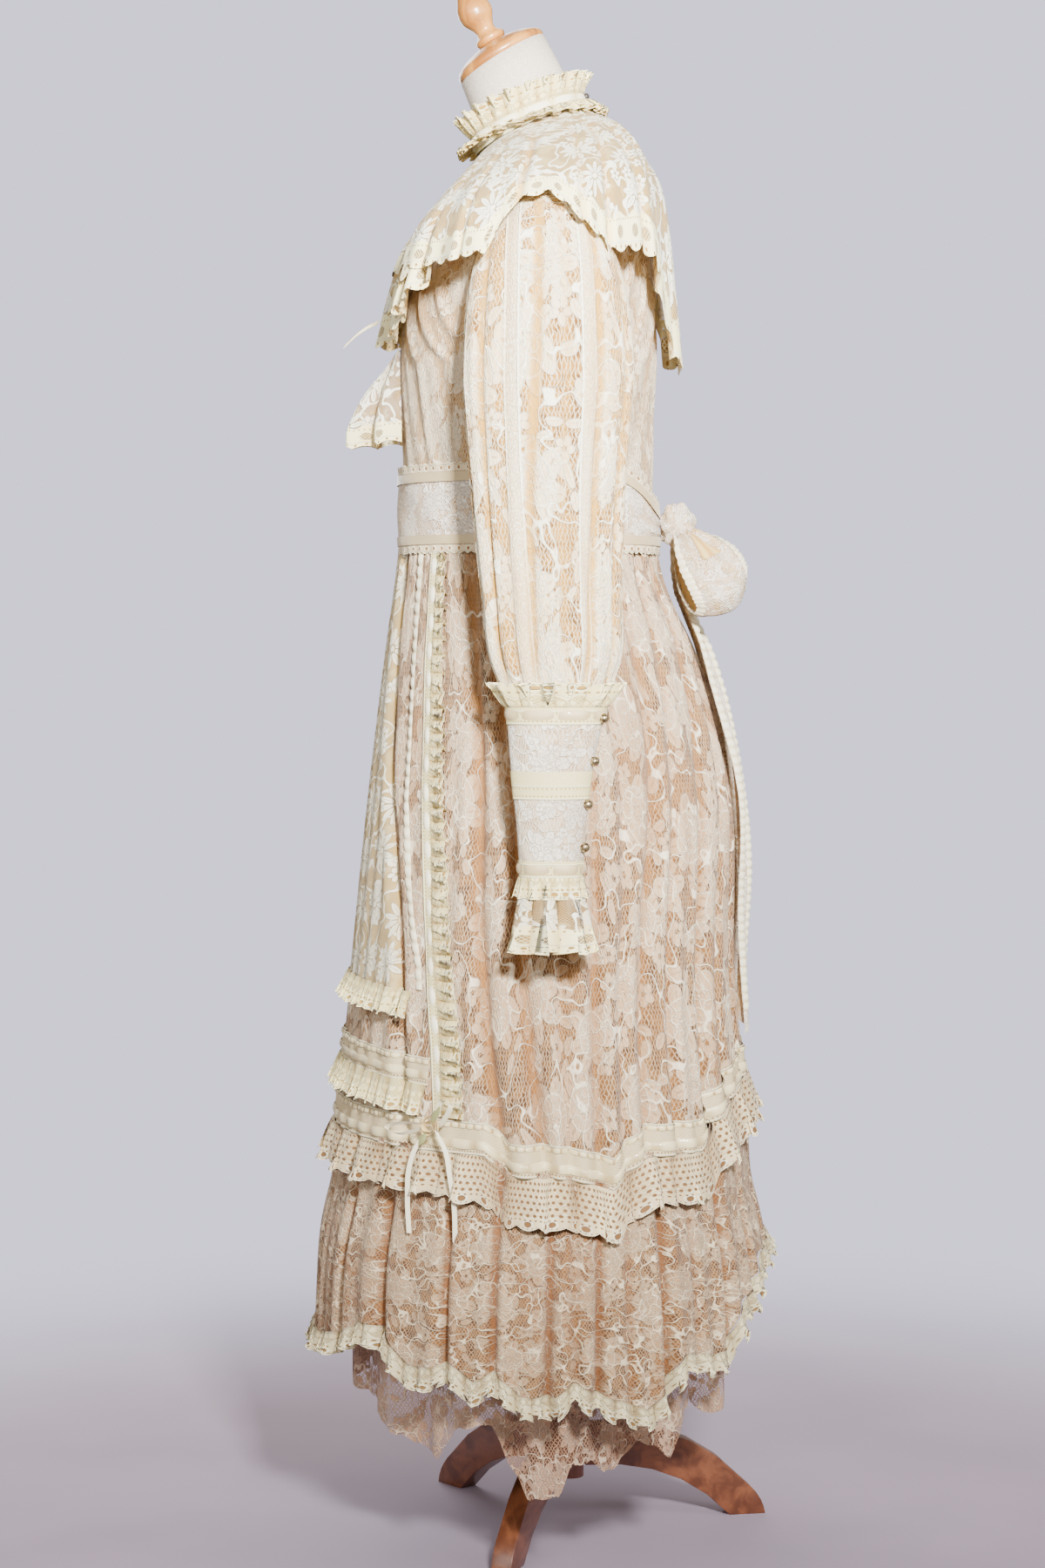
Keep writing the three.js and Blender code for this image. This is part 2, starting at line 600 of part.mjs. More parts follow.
// the trimmed edges of the front panel: a flat beading band with a frill along its outer side
function makePanelTrims() {
  const rows = steps(panelTrim.frillWaves * 4).map((t) => mix(panelTrim.bottom + 2, panelTrim.top, t));
  const widthAngle = (height, width) => {
    const ring = rowAt(skirtRings, 'height', height);
    return THREE.MathUtils.radToDeg(width / ((ring.halfWidth + (ring.yBack - ring.yFront) / 2) / 2));
  };
  const bandGrid = rows.filter((_, i) => i % 2 === 0).map((height) => {
    const edge = rowAt(panelEdge, 'height', height).bearing;
    const width = widthAngle(height, panelTrim.bandWidth);
    return [edge - width, edge - width / 2, edge].map((bearing) => onSkirt(height, bearing, trimClear));
  });
  addPair('panel_band', clothWall(bandGrid, trimWall, false), materials.creamTrim);
  const frillGrid = rows.map((height, i) => {
    const edge = rowAt(panelEdge, 'height', height).bearing + widthAngle(height, 1);
    const share = (height - panelTrim.bottom) / (panelTrim.top - panelTrim.bottom);
    const width = widthAngle(height, mix(panelTrim.frillBottom, panelTrim.frillTop, share));
    const wave = 3 * Math.cos(Math.PI * i / 2);
    return [
      onSkirt(height, edge, trimClear),
      onSkirt(height, edge + width / 2, trimClear + panelTrim.frillRise + wave),
      onSkirt(height, edge + width, trimClear + panelTrim.frillRise + 1 - wave),
    ];
  });
  addPair('panel_frill', clothWall(frillGrid, trimWall, false), materials.creamTrim);
}

// small ribbon bows where the panel's edges meet the tier band
const trimBow = { height: 424, out: 8, inside: 3, tip: 0.12, turn: 5 };

function makeTrimBows() {
  const shape = new THREE.Shape();
  shape.moveTo(0, -6);
  shape.bezierCurveTo(12, -16, 34, -18, 34, -4);
  shape.bezierCurveTo(34, 12, 12, 14, 0, 5);
  shape.bezierCurveTo(-12, 14, -34, 12, -34, -4);
  shape.bezierCurveTo(-34, -18, -12, -16, 0, -6);
  const bow = new THREE.ExtrudeGeometry(shape, { depth: 4, bevelEnabled: false, curveSegments: 6 });
  const { height, out, inside } = trimBow;
  const seat = rowAt(panelEdge, 'height', height);
  const place = onSkirt(height, seat.bearing - inside, trimClear + out);
  bow.rotateX(Math.PI / 2 - trimBow.tip);
  bow.rotateZ(radians(seat.bearing - inside - trimBow.turn));
  bow.translate(place.x, place.y, place.z);
  addPair('trim_bow', bow, materials.satin);
}

// ---- sash and its bow ----
function makeSash() {
  const grid = sashRings.map((row) =>
    roundBearings(48).map((bearing) => ringPoint(levelRing(row), bearing)));
  addPiece('sash', clothWall(grid, laceWall, true), materials.sash);
}

const knot = { y: 102.7, z: 968, halfX: 22, halfY: 17, halfZ: 21 };

// a loop of the bow: it leaves the knot, opens out, turns back and ends at the knot again
function bowLoop() {
  const length = 98;
  const halfWidths = [13, 24, 30, 32, 32, 31, 32, 32, 30, 24, 13];
  const opening = 20;
  const outward = new THREE.Vector3(0.62, 0.42, -0.66).normalize();
  const across = new THREE.Vector3(-0.3, 0.84, 0.3);
  across.addScaledVector(outward, -across.dot(outward)).normalize();
  const through = outward.clone().cross(across);
  const start = new THREE.Vector3(knot.halfX - 6.6, knot.y + 4, knot.z - 6);
  const grid = halfWidths.map((half, j) => {
    const t = j / (halfWidths.length - 1);
    const middle = start.clone()
      .addScaledVector(outward, 6 + length * Math.sin(Math.PI * t))
      .addScaledVector(through, -3 + 6 * t - opening * Math.sin(2 * Math.PI * t));
    return steps(4).map((u) => middle.clone().addScaledVector(across, mix(-half, half, u)));
  });
  return clothWall(grid, laceWall, false);
}

// the tails lie down the back of the skirt, clear of its folds
function bowTail() {
  const rows = table(['height', 'from', 'to', 'out'], [
    [505, 34, 62, 7], [590, 30, 66, 9], [680, 26, 66, 10], [760, 20, 60, 10],
    [840, 14, 54, 11], [905, 8, 44, 13], [947, 1, 18, 21.4],
  ]);
  const grid = rows.map((row, j) => [1, 0.66, 0.33, 0].map((u, i) => {
    const x = mix(row.from, row.to, u);
    const ring = rowAt(skirtRings, 'height', row.height);
    const middle = (ring.yFront + ring.yBack) / 2;
    const y = middle + (ring.yBack - middle) * Math.sqrt(1 - (x / ring.halfWidth) ** 2);
    const ripple = 2 * Math.cos(i * 2 + j);
    return new THREE.Vector3(x, y + ring.fold + row.out + ripple, row.height);
  }));
  return clothWall(grid, trimWall, false);
}

function makeBow() {
  const shape = new THREE.SphereGeometry(1, 12, 8);
  shape.scale(knot.halfX, knot.halfY, knot.halfZ);
  shape.translate(0, knot.y, knot.z);
  addPiece('bow_knot', shape, materials.sash);
  addPair('bow_loop', bowLoop(), materials.sash);
  addPair('bow_tail', bowTail(), materials.sash);
}

// ---- dress form and stand ----
function makeForm() {
  const bearings = roundBearings(24);
  const rings = (rows) => rows.map((ring) => bearings.map((bearing) => ringPoint(ring, bearing)));
  const shoulders = formInsets.map((inset, i) =>
    bearings.map((bearing) => bodiceOut(i + 1, bearing, -inset)));
  const grid = [...rings(formRings), ...shoulders, ...rings(neckRings)];
  addPiece('form_torso', solidLoft(grid), materials.linen);
}

// a turned piece on the axis of the neck, which leans forward
function turnedOnNeck(profile) {
  const turned = new THREE.LatheGeometry(profile.map(([r, h]) => new THREE.Vector2(r, h)), 14);
  turned.rotateX(radians(90 + neckTop.lean));
  turned.translate(0, neckTop.y, neckTop.z);
  return turned;
}

function makeCap() {
  const cap = turnedOnNeck([
    [0, seamGap], [45, seamGap], [46, 2], [46, 5], [43, 9], [33, 14], [18, 18], [0, 19],
  ]);
  addPiece('neck_cap', cap, materials.lightWood);
  const finial = turnedOnNeck([
    [0, 19.3], [13, 19.3], [15, 22], [15, 25], [11, 28], [9, 32], [11, 38], [16, 46], [17, 53],
    [15, 61], [10, 69], [8, 73], [12, 76], [12, 80], [8, 83], [11, 88], [11, 93], [7, 99], [0, 101],
  ]);
  addPiece('finial', finial, materials.lightWood);
}

function makeStand() {
  const pole = new THREE.CylinderGeometry(post.radius, post.radius, post.top - post.bottom, 18);
  pole.rotateX(Math.PI / 2);
  pole.translate(0, 0, (post.top + post.bottom) / 2);
  addPiece('stand_post', pole, materials.darkWood);
  const side = new THREE.Shape();
  const hub = post.radius + seamGap;
  side.moveTo(hub, 56);
  side.quadraticCurveTo(104, 60, leg.footFrom, 0);
  side.lineTo(leg.footTo, 0);
  side.quadraticCurveTo(leg.footTo - 2, 18, leg.footTo - 22, 34);
  side.quadraticCurveTo(112, 100, hub, 96);
  side.closePath();
  leg.bearings.forEach((bearing, i) => {
    const plank = new THREE.ExtrudeGeometry(side, {
      depth: leg.thickness, bevelEnabled: false, curveSegments: 5,
    });
    plank.translate(0, 0, -leg.thickness / 2);
    plank.rotateX(Math.PI / 2);
    plank.rotateZ(radians(bearing));
    addPiece(`stand_leg_${i + 1}`, plank, materials.darkWood);
  });
}

makeBodice();
makeSleeves();
makeCollar();
makeCape();
makeJabot();
makeSkirt();
makeUnderskirt();
makeTiers();
makeTierRuffle();
makePanelTrims();
makeTrimBows();
makeSash();
makeBow();
makeForm();
makeCap();
makeStand();

// the origin is the middle of the whole part's footprint, on the floor
object.updateMatrixWorld(true);
const bounds = new THREE.Box3().setFromObject(object, true);
const centre = bounds.getCenter(new THREE.Vector3());
object.position.set(-centre.x, -centre.y, -bounds.min.z);

export default object;
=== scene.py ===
# A long-sleeved lace dress with a cape collar, a sash and a flounced skirt, on a dress form
# with a three-legged stand. Tables are in millimetres from the middle of the stand's post, and
# the studio's are in metres.
import math

import bmesh
import bpy
import numpy as np
from mathutils import Matrix, Vector


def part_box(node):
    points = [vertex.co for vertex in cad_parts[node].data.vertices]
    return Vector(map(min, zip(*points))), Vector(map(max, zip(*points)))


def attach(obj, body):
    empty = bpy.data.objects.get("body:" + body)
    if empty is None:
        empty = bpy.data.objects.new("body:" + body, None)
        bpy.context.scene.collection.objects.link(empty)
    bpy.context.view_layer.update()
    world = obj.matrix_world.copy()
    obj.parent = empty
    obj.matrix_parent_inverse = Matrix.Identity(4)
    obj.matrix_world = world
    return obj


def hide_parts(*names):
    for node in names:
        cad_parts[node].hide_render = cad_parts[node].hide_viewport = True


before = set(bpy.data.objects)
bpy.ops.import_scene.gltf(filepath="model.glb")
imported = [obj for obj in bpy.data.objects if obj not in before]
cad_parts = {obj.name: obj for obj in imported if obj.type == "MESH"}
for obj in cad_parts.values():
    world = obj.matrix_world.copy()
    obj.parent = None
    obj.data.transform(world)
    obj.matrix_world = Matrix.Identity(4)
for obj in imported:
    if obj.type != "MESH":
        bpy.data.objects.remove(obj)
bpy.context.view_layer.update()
postLow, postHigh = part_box("stand_post")
postAxis = np.array([(postLow.x + postHigh.x) / 2, (postLow.y + postHigh.y) / 2, 0.0])
metre = 0.001                 # a millimetre of the tables, in scene units


def toFrame(points):
    return np.asarray(points) * metre + postAxis


# ---- camera, floor and light ----
view = {"place": (3100, -46.2, 871), "tilt": 2.8, "frameHeight": 1512, "sensor": 36}
studio = {
    "floorRadius": 2.4, "floorFade": (0.5, 1.5), "floor": (170, 154, 170), "floorCloud": (152, 139, 156),
    "air": (236, 228, 218), "airStrength": 0.48, "backdrop": (215, 214, 234), "backdropStrength": 1.75,
    "keyPlace": (2.78, 0.49, 1.78), "keySize": 0.3, "keyPower": 54, "keySpread": 62, "keyAim": 1.32,
    "fillPlace": (2.2, -1.6, 1.6), "fillSize": 1.6, "fillPower": 32, "fillSpread": 180, "fillAim": 0.75,
    "rimPlace": (1.2, 2.4, 1.9), "rimSize": 1.2, "rimPower": 26, "rimSpread": 180, "rimAim": 0.75,
    "farPlace": (-2.4, -0.7, 1.9), "farSize": 1.8, "farPower": 62, "farSpread": 180, "farAim": 0.75,
}


def tone(red, green, blue):
    # a colour in 0 to 255 as the linear numbers that shaders take
    linear = [c / 255 / 12.92 if c <= 10 else ((c / 255 + 0.055) / 1.055) ** 2.4
              for c in (red, green, blue)]
    return (*linear, 1.0)


def aim(thing, place, target):
    thing.location = place
    thing.rotation_euler = (Vector(target) - Vector(place)).to_track_quat("-Z", "Y").to_euler()


def makeCamera():
    camera = bpy.data.objects.new("camera", bpy.data.cameras.new("camera"))
    bpy.context.scene.collection.objects.link(camera)
    camera.data.sensor_fit = "VERTICAL"
    camera.data.sensor_height = view["sensor"]
    camera.data.lens = view["sensor"] * view["place"][0] / view["frameHeight"]
    place = Vector(toFrame(view["place"]))
    slope = math.tan(math.radians(view["tilt"]))
    aim(camera, place, place + Vector((-1, 0, -slope)))
    bpy.context.scene.camera = camera


def makeLight(name, place, size, power, spread, aimHeight):
    light = bpy.data.objects.new(name, bpy.data.lights.new(name, "AREA"))
    light.data.size = size
    light.data.energy = power
    light.data.spread = math.radians(spread)
    bpy.context.scene.collection.objects.link(light)
    aim(light, place, (0, 0, aimHeight))


def makeStudio():
    world = bpy.data.worlds.new("air")
    world.use_nodes = True
    tree = world.node_tree
    air = tree.nodes["Background"]
    backdrop = tree.nodes.new("ShaderNodeBackground")
    for node, name in ((air, "air"), (backdrop, "backdrop")):
        node.inputs["Color"].default_value = tone(*studio[name])
        node.inputs["Strength"].default_value = studio[name + "Strength"]
    # the backdrop is only seen, and the air only lights
    path = tree.nodes.new("ShaderNodeLightPath")
    mix = tree.nodes.new("ShaderNodeMixShader")
    for start, end in ((path.outputs["Is Camera Ray"], mix.inputs[0]), (air.outputs[0], mix.inputs[1]),
                       (backdrop.outputs[0], mix.inputs[2]),
                       (mix.outputs[0], tree.nodes["World Output"].inputs["Surface"])):
        tree.links.new(start, end)
    bpy.context.scene.world = world
    for name in ("key", "fill", "rim", "far"):
        makeLight(name, *(studio[name + part] for part in ("Place", "Size", "Power", "Spread", "Aim")))


makeCamera()
makeStudio()
print("camera and light are set")


# ---- shader maths ----
class Value:
    # a socket; sums, differences, products and quotients of it add Math nodes
    def __init__(self, finish, socket):
        self.finish = finish
        self.socket = socket

    def math(self, operation, *others):
        inputs = dict(enumerate((self, *others)))
        return self.finish.node("Math", {"operation": operation}, inputs)

    def __add__(self, other):
        return self.math("ADD", other)

    def __mul__(self, other):
        return self.math("MULTIPLY", other)

    def __sub__(self, other):
        return self.math("SUBTRACT", other)

    def __truediv__(self, other):
        return self.math("DIVIDE", other)

    def __rsub__(self, other):
        return self.finish.node("Math", {"operation": "SUBTRACT"}, {0: other, 1: self})

    __radd__ = __add__
    __rmul__ = __mul__

    def least(self, other):
        return self.math("MINIMUM", other)

    def most(self, other):
        return self.math("MAXIMUM", other)

    def fade(self, low, high):
        # 0 below low and 1 above high, with a soft slope between
        inputs = {"Value": self, "From Min": low, "From Max": high}
        return self.finish.node("MapRange", {"interpolation_type": "SMOOTHSTEP"}, inputs)

    def out(self, name):
        return Value(self.finish, self.socket.node.outputs[name])


class Finish:
    # a material under construction
    def __init__(self, name):
        self.material = bpy.data.materials.new(name)
        self.material.use_nodes = True
        self.tree = self.material.node_tree
        self.shader = self.tree.nodes["Principled BSDF"]

    def node(self, kind, settings=None, inputs=None, output=0):
        made = self.tree.nodes.new("ShaderNode" + kind)
        for name, value in (settings or {}).items():
            setattr(made, name, value)
        for name, value in (inputs or {}).items():
            self.feed(made.inputs[name], value)
        return Value(self, made.outputs[output])

    def feed(self, socket, value):
        if isinstance(value, Value):
            self.tree.links.new(value.socket, socket)
        else:
            socket.default_value = value

    def blend(self, share, first, second):
        inputs = {0: share, 6: first, 7: second}
        return self.node("Mix", {"data_type": "RGBA"}, inputs, output=2)

    def mapped(self, name):
        # a UV map's two numbers, in millimetres
        point = self.node("UVMap", {"uv_map": name})
        parts = self.node("SeparateXYZ", None, {0: point})
        return parts * 1000, parts.out("Y") * 1000

    # the share of painted shade each point of a cloth piece carries, set where its folds sink in
    def paintedShade(self):
        return self.node("Attribute", {"attribute_name": "paintedShade"}, output=2)

    def noise(self, across, down, size, detail=2):
        point = self.node("CombineXYZ", None, {0: across / size, 1: down / size})
        inputs = {"Vector": point, "Scale": 1, "Detail": detail}
        return self.node("TexNoise", {"noise_dimensions": "2D"}, inputs)

    def relief(self, height, distance):
        inputs = {"Height": height, "Distance": distance * metre, "Strength": 1}
        return self.node("Bump", None, inputs)

    def finished(self, constants=None, **varying):
        for name, value in {**(constants or {}), **varying}.items():
            self.feed(self.shader.inputs[name.replace("_", " ")], value)
        return self.material


# ---- lace motifs, all in millimetres ----
def motifAt(finish, across, down, pitch, spread, start=0.0):
    # the offsets from the nearest motif's middle, as an angle and a radius, and its own number
    point = finish.node("CombineXYZ", None, {0: across / pitch + start, 1: down / pitch + start})
    settings = {"voronoi_dimensions": "2D"}
    cell = finish.node("TexVoronoi", settings, {"Vector": point, "Scale": 1, "Randomness": spread})
    offset = finish.node("VectorMath", {"operation": "SUBTRACT"}, {0: point, 1: cell.out("Position")})
    parts = finish.node("SeparateXYZ", None, {0: offset})
    x, y = parts * pitch, parts.out("Y") * pitch
    number = finish.node("SeparateColor", None, {0: cell.out("Color")})
    angle = y.math("ARCTAN2", x) + number * 6.28
    return angle, (x * x + y * y).math("SQRT"), number


def petals(angle, radius, count, inner, outer, halfWidth):
    # above 0 inside a ring of oval petals, 1 at each petal's middle
    sector = ((angle * (count / math.tau)).math("FRACT") - 0.5) * (math.tau / count)
    along = (radius * sector.math("COSINE") - (inner + outer) / 2) / ((outer - inner) / 2)
    side = radius * sector.math("SINE") / halfWidth
    return 1 - along * along - side * side


def edged(field, width):
    # 1 on the rim of a motif
    return 1 - (field.math("ABSOLUTE")).fade(0, width)


def netting(across, down, cellWide, cellTall, thread):
    # 1 on the threads of a slanted mesh; thread is the share of a cell that they cover
    first = across / cellWide + down / cellTall
    second = across / cellWide - down / cellTall
    lines = [((part.math("FRACT") - 0.5).math("ABSOLUTE")).fade(0.5 - thread, 0.5)
             for part in (first, second)]
    return lines[0].most(lines[1])


def holes(run, edge, pitch, at, radius):
    # 1 inside a row of round holes along an edge
    x = ((run / pitch).math("FRACT") - 0.5) * pitch
    y = edge - at
    return 1 - (x * x + y * y).math("SQRT").fade(radius - 0.35, radius + 0.35)


# ---- finishes ----
# The skirt's, flounce's and underskirt's laces are set darker than the sleeves' and sash's, partly their
# own colour
# and partly painted shade of the light falling off towards the hem.
# behind them, the darker gap tone paints more shade there, and shade is the painted shade of its fold
# hollows.
# each lace's tones: cloth and cords are its own colours; gap paints its holes in the lining's tan with
# painted shade
floral = {
    "main": {
        "cloth": tone(204, 170, 132), "cord": tone(250, 236, 206), "gap": tone(132, 90, 42),
        "gapShade": tone(82, 50, 20), "shade": tone(160, 104, 40), "bloom": 62, "bud": 27, "leaf": 34,
        "vine": 44, "stretch": 1.35, "meshWide": 3.4, "meshTall": 9, "thread": 0.2,
    },
    "sleeve": {
        "cloth": tone(234, 212, 172), "cord": tone(255, 249, 222), "gap": tone(172, 122, 46),
        "gapShade": tone(112, 72, 20), "shade": tone(206, 154, 62), "bloom": 58, "bud": 25, "leaf": 34,
        "vine": 40, "stretch": 1.6, "meshWide": 3.2, "meshTall": 12, "thread": 0.2,
        "stripEvery": 62, "stripWide": 13,
    },
    "peach": {
        "cloth": tone(184, 148, 110), "cord": tone(240, 218, 180), "gap": tone(130, 88, 42),
        "gapShade": tone(80, 48, 20), "shade": tone(132, 78, 30), "bloom": 60, "bud": 25, "leaf": 30,
        "vine": 38, "stretch": 0.72, "meshWide": 3.6, "meshTall": 4.4, "thread": 0.22, "waves": 15,
    },
    "under": {
        "cloth": tone(190, 150, 120), "cord": tone(224, 198, 168), "gap": tone(158, 114, 84),
        "gapShade": tone(128, 88, 62), "shade": tone(146, 98, 66), "bloom": 46, "bud": 22, "leaf": 24,
        "vine": 30, "stretch": 1.0, "meshWide": 4, "meshTall": 5, "thread": 0.26, "open": 0.25,
    },
    "sash": {
        "cloth": tone(240, 222, 202), "cord": tone(252, 243, 226), "gap": tone(212, 180, 138),
        "gapShade": tone(168, 130, 80), "shade": tone(206, 168, 92), "bloom": 42, "bud": 20, "leaf": 22,
        "vine": 26, "stretch": 0.9, "meshWide": 3.4, "meshTall": 4, "thread": 0.28,
    },
}


def bloomMotif(finish, x, y, pitch):
    # a full flower: rounded outer petals, inner ones, and a ring of small holes at its heart
    angle, radius = motifAt(finish, x, y, pitch, 0.5)[:2]
    unit = pitch / 60
    outer = petals(angle, radius, 7, 7 * unit, 25 * unit, 6.4 * unit)
    inner = petals(angle + 0.45, radius, 6, 3 * unit, 15.5 * unit, 4.3 * unit)
    disc = 1 - radius / (15 * unit)
    heart = petals(angle, radius, 8, 2.2 * unit, 4.6 * unit, 0.9 * unit)
    veins = petals(angle, radius, 7, 16 * unit, 22 * unit, 1.0 * unit)
    fill = outer.most(disc).most(inner)
    cords = edged(outer, 0.16).most(edged(inner, 0.2)).most(edged(disc, 0.07) * 0.7)
    return fill, cords, (heart.most(veins)).fade(0, 0.5)


def floralLace(name, look):
    finish = Finish(name)
    across, down = finish.mapped("cloth")
    paintedShade = finish.paintedShade()
    vine = look["vine"]
    sway = (finish.noise(across, down, 2 * vine) - 0.5) * (0.6 * vine)
    x = across + sway
    y = down / look["stretch"] - sway
    blooms, bloomCords, pinholes = bloomMotif(finish, x, y, look["bloom"])
    angle, radius, number = motifAt(finish, x, y, look["bud"], 0.95, 7.3)
    unit = look["bud"] / 27
    buds = petals(angle, radius, 5, 1.6 * unit, 9.2 * unit, 3.3 * unit)
    buds = buds - (1 - number.fade(0.3, 0.32)) * 3
    angle, radius = motifAt(finish, x, y, look["leaf"], 0.9, 3.1)[:2]
    unit = look["leaf"] / 34
    leaves = petals(angle, radius, 2, 1 * unit, 15 * unit, 3.7 * unit)
    ribs = petals(angle, radius, 2, 2 * unit, 14 * unit, 0.5 * unit)
    curl = (finish.noise(x, y, 0.62 * vine, 1) - 0.5).math("ABSOLUTE") * vine
    scrolls = 1 - curl / 0.85
    if "waves" in look:
        # wavy cords that run across between the flowers
        ripple = (finish.noise(x, y, 26, 1) - 0.5) * 30
        away = (((down + ripple) / look["waves"]).math("FRACT") - 0.5).math("ABSOLUTE") * look["waves"]
        scrolls = scrolls.most(1 - away / 0.75)
    field = blooms.most(buds).most(leaves).most(scrolls)
    cover = field.fade(-0.1, 0.1)
    drift = finish.noise(across, down, 9, 1) * 5
    mesh = netting(across + drift, down, look["meshWide"], look["meshTall"], look["thread"])
    rims = bloomCords.most(edged(buds, 0.3)).most(edged(leaves, 0.3)).most(scrolls.fade(0.1, 0.6))
    rims = rims * cover
    dark = (pinholes * 0.8).most(ribs.fade(0, 0.5) * 0.5)
    if "stripEvery" in look:
        # straight insertion strips, denser than the flowers, with a corded edge
        place = ((across / look["stripEvery"] + 0.5).math("FRACT") - 0.5).math("ABSOLUTE")
        place = place * look["stripEvery"]
        strip = 1 - place.fade(look["stripWide"] / 2 - 0.6, look["stripWide"] / 2)
        grain = finish.noise(across, down / 2, 1.5, 1)
        border = 1 - (place - look["stripWide"] / 2).math("ABSOLUTE").fade(0.6, 1.3)
        cover = (cover * (1 - strip) + strip * (0.72 + grain.fade(0.35, 0.5) * 0.28)).most(border)
        rims = (rims * (1 - strip)).most(border).most(strip * grain.fade(0.5, 0.7) * 0.6)
        dark = dark * (1 - strip)
    fabric = cover.most(mesh * 0.92)
    # the gaps are painted: the lining's own tan with painted shade behind the holes, darker in random
    # flecks
    fleck = finish.noise(across, down, 11, 3)
    ground = finish.blend(fleck.fade(0.42, 0.62), look["gap"], look["gapShade"])
    thread = finish.noise(across, down / 3, 1.0, 1)
    raised = (rims * 0.9 + thread.fade(0.45, 0.7) * 0.2).least(1)
    cloth = finish.blend(raised, look["cloth"], look["cord"])
    # pinholes and leaf veins are painted in the gap tone as painted shade
    cloth = finish.blend(dark * cover * 0.55, cloth, look["gap"])
    colour = finish.blend(fabric, ground, cloth)
    # painted shade in the fold hollows, kept lighter on the cords; the same tone also drifts in at random
    # as a warmer tint
    warmth = finish.noise(across, down / 3, 55, 2).fade(0.46, 0.7) * 0.32
    colour = finish.blend((paintedShade * 0.9).most(warmth) * (1 - rims * 0.3), colour, look["shade"])
    height = cover * 0.5 + rims * 0.7 + mesh * 0.3 + thread * 0.16 - dark * 0.3
    normal = finish.relief(height, 1.1)
    varying = {"Base_Color": colour, "Normal": normal}
    if "open" in look:
        varying["Alpha"] = fabric * (1 - look["open"]) + look["open"]
    return finish.finished({"Roughness": 0.82, "Sheen Weight": 0.15}, **varying)


# the daisy lace's tones: gap paints the holes with painted shade behind them, and shade is the painted
# shade of fold hollows
daisy = {
    "cloth": tone(255, 251, 226), "net": tone(224, 196, 132), "gap": tone(160, 118, 48),
    "shade": tone(210, 162, 70), "border": tone(252, 241, 186), "borderWide": 23, "scallop": 26,
    "scallopDepth": 4,
}


def daisyLace(name, look, netAlpha):
    finish = Finish(name)
    across, down = finish.mapped("cloth")
    run, edge = finish.mapped("edge")
    paintedShade = finish.paintedShade()
    angle, radius = motifAt(finish, across, down, 50, 0.3)[:2]
    daisies = petals(angle, radius, 10, 4.2, 20, 2.7)
    eye = petals(angle, radius, 5, 0.4, 3.4, 1.5)
    veins = petals(angle, radius, 10, 6, 17, 0.5)
    angle, radius, number = motifAt(finish, across, down, 23, 0.85, 4.6)
    florets = petals(angle, radius, 5, 1.2, 7.4, 2.4) - (1 - number.fade(0.35, 0.37)) * 3
    curl = (finish.noise(across, down, 26, 1) - 0.5).math("ABSOLUTE") * 36
    garland = 1 - curl / 1.1
    field = daisies.most(eye).most(florets).most(garland)
    cover = field.fade(-0.12, 0.12)
    rims = edged(daisies, 0.3).most(edged(florets, 0.35)) * cover
    creases = veins.fade(0, 0.6)
    mesh = netting(across, down, 2.2, 2.2, 0.22)
    haze = finish.noise(across, down, 16, 2).fade(0.5, 0.62)
    # the scalloped border: fans of diamond mesh between a row of eyelets and a line of pinholes
    pitch = look["scallop"]
    wave = (run * (math.tau / pitch)).math("COSINE")
    border = 1 - (edge + wave * 1.8).fade(look["borderWide"] - 0.8, look["borderWide"] + 0.8)
    diamonds = netting(run, edge, 2.9, 2.9, 0.3)
    x = ((run / pitch).math("FRACT") - 0.5) * pitch / 5
    y = (edge - 13) / 3.6
    window = (1 - (x * x + y * y)).fade(-0.05, 0.1)
    eyelets = holes(run, edge, pitch / 3, 5.0, 1.0)
    pinholes = holes(run, edge, pitch / 6, 20, 0.55).most(
        holes(run, edge, pitch / 7, 2.2, 0.4))
    gaps = (eyelets.most(pinholes)).most(window * (1 - diamonds))
    cords = edged((1 - (x * x + y * y)), 0.18).most(edged(edge - 7.4, 0.7)) * border
    # between the net's threads the holes are painted in the gap tone as painted shade, while the net
    # stays partly see-through
    net = finish.blend(mesh.most(haze * 0.7), look["gap"], look["net"])
    main = finish.blend(cover, net, finish.blend(creases * 0.45, look["cloth"], look["net"]))
    corded = finish.blend(cords, look["border"], look["cloth"])
    # the border's holes are painted in the gap tone as well, as painted shade, though partly see-through
    colour = finish.blend(border, main, finish.blend(gaps * (1 - cords), corded, look["gap"]))
    # painted shade in the fold hollows, kept lighter on the rims
    colour = finish.blend(paintedShade * (1 - rims * 0.4) * 0.85, colour, look["shade"])
    height = ((cover + rims * 0.8 - creases * 0.6 + mesh * 0.2) * (1 - border)
              + border * (1.2 - gaps + cords * 0.6))
    solid = (cover + border * (1 - gaps * 0.6)).least(1)
    alpha = solid.most(mesh * (1 - netAlpha) + netAlpha)
    return finish.finished(
        {"Roughness": 0.8, "Sheen Weight": 0.15},
        Base_Color=colour, Normal=finish.relief(height, 1.0), Alpha=alpha)


# the edging's tones: gap paints its eyelets and holes with painted shade behind them, and shade is the
# painted shade in its gathers
trim = {
    "cloth": tone(246, 234, 174), "cord": tone(255, 251, 212), "gap": tone(170, 132, 60),
    "shade": tone(188, 146, 62), "scallop": 13, "eyelet": 1.7,
    "cell": 2.8, "openMesh": 0.55,
}


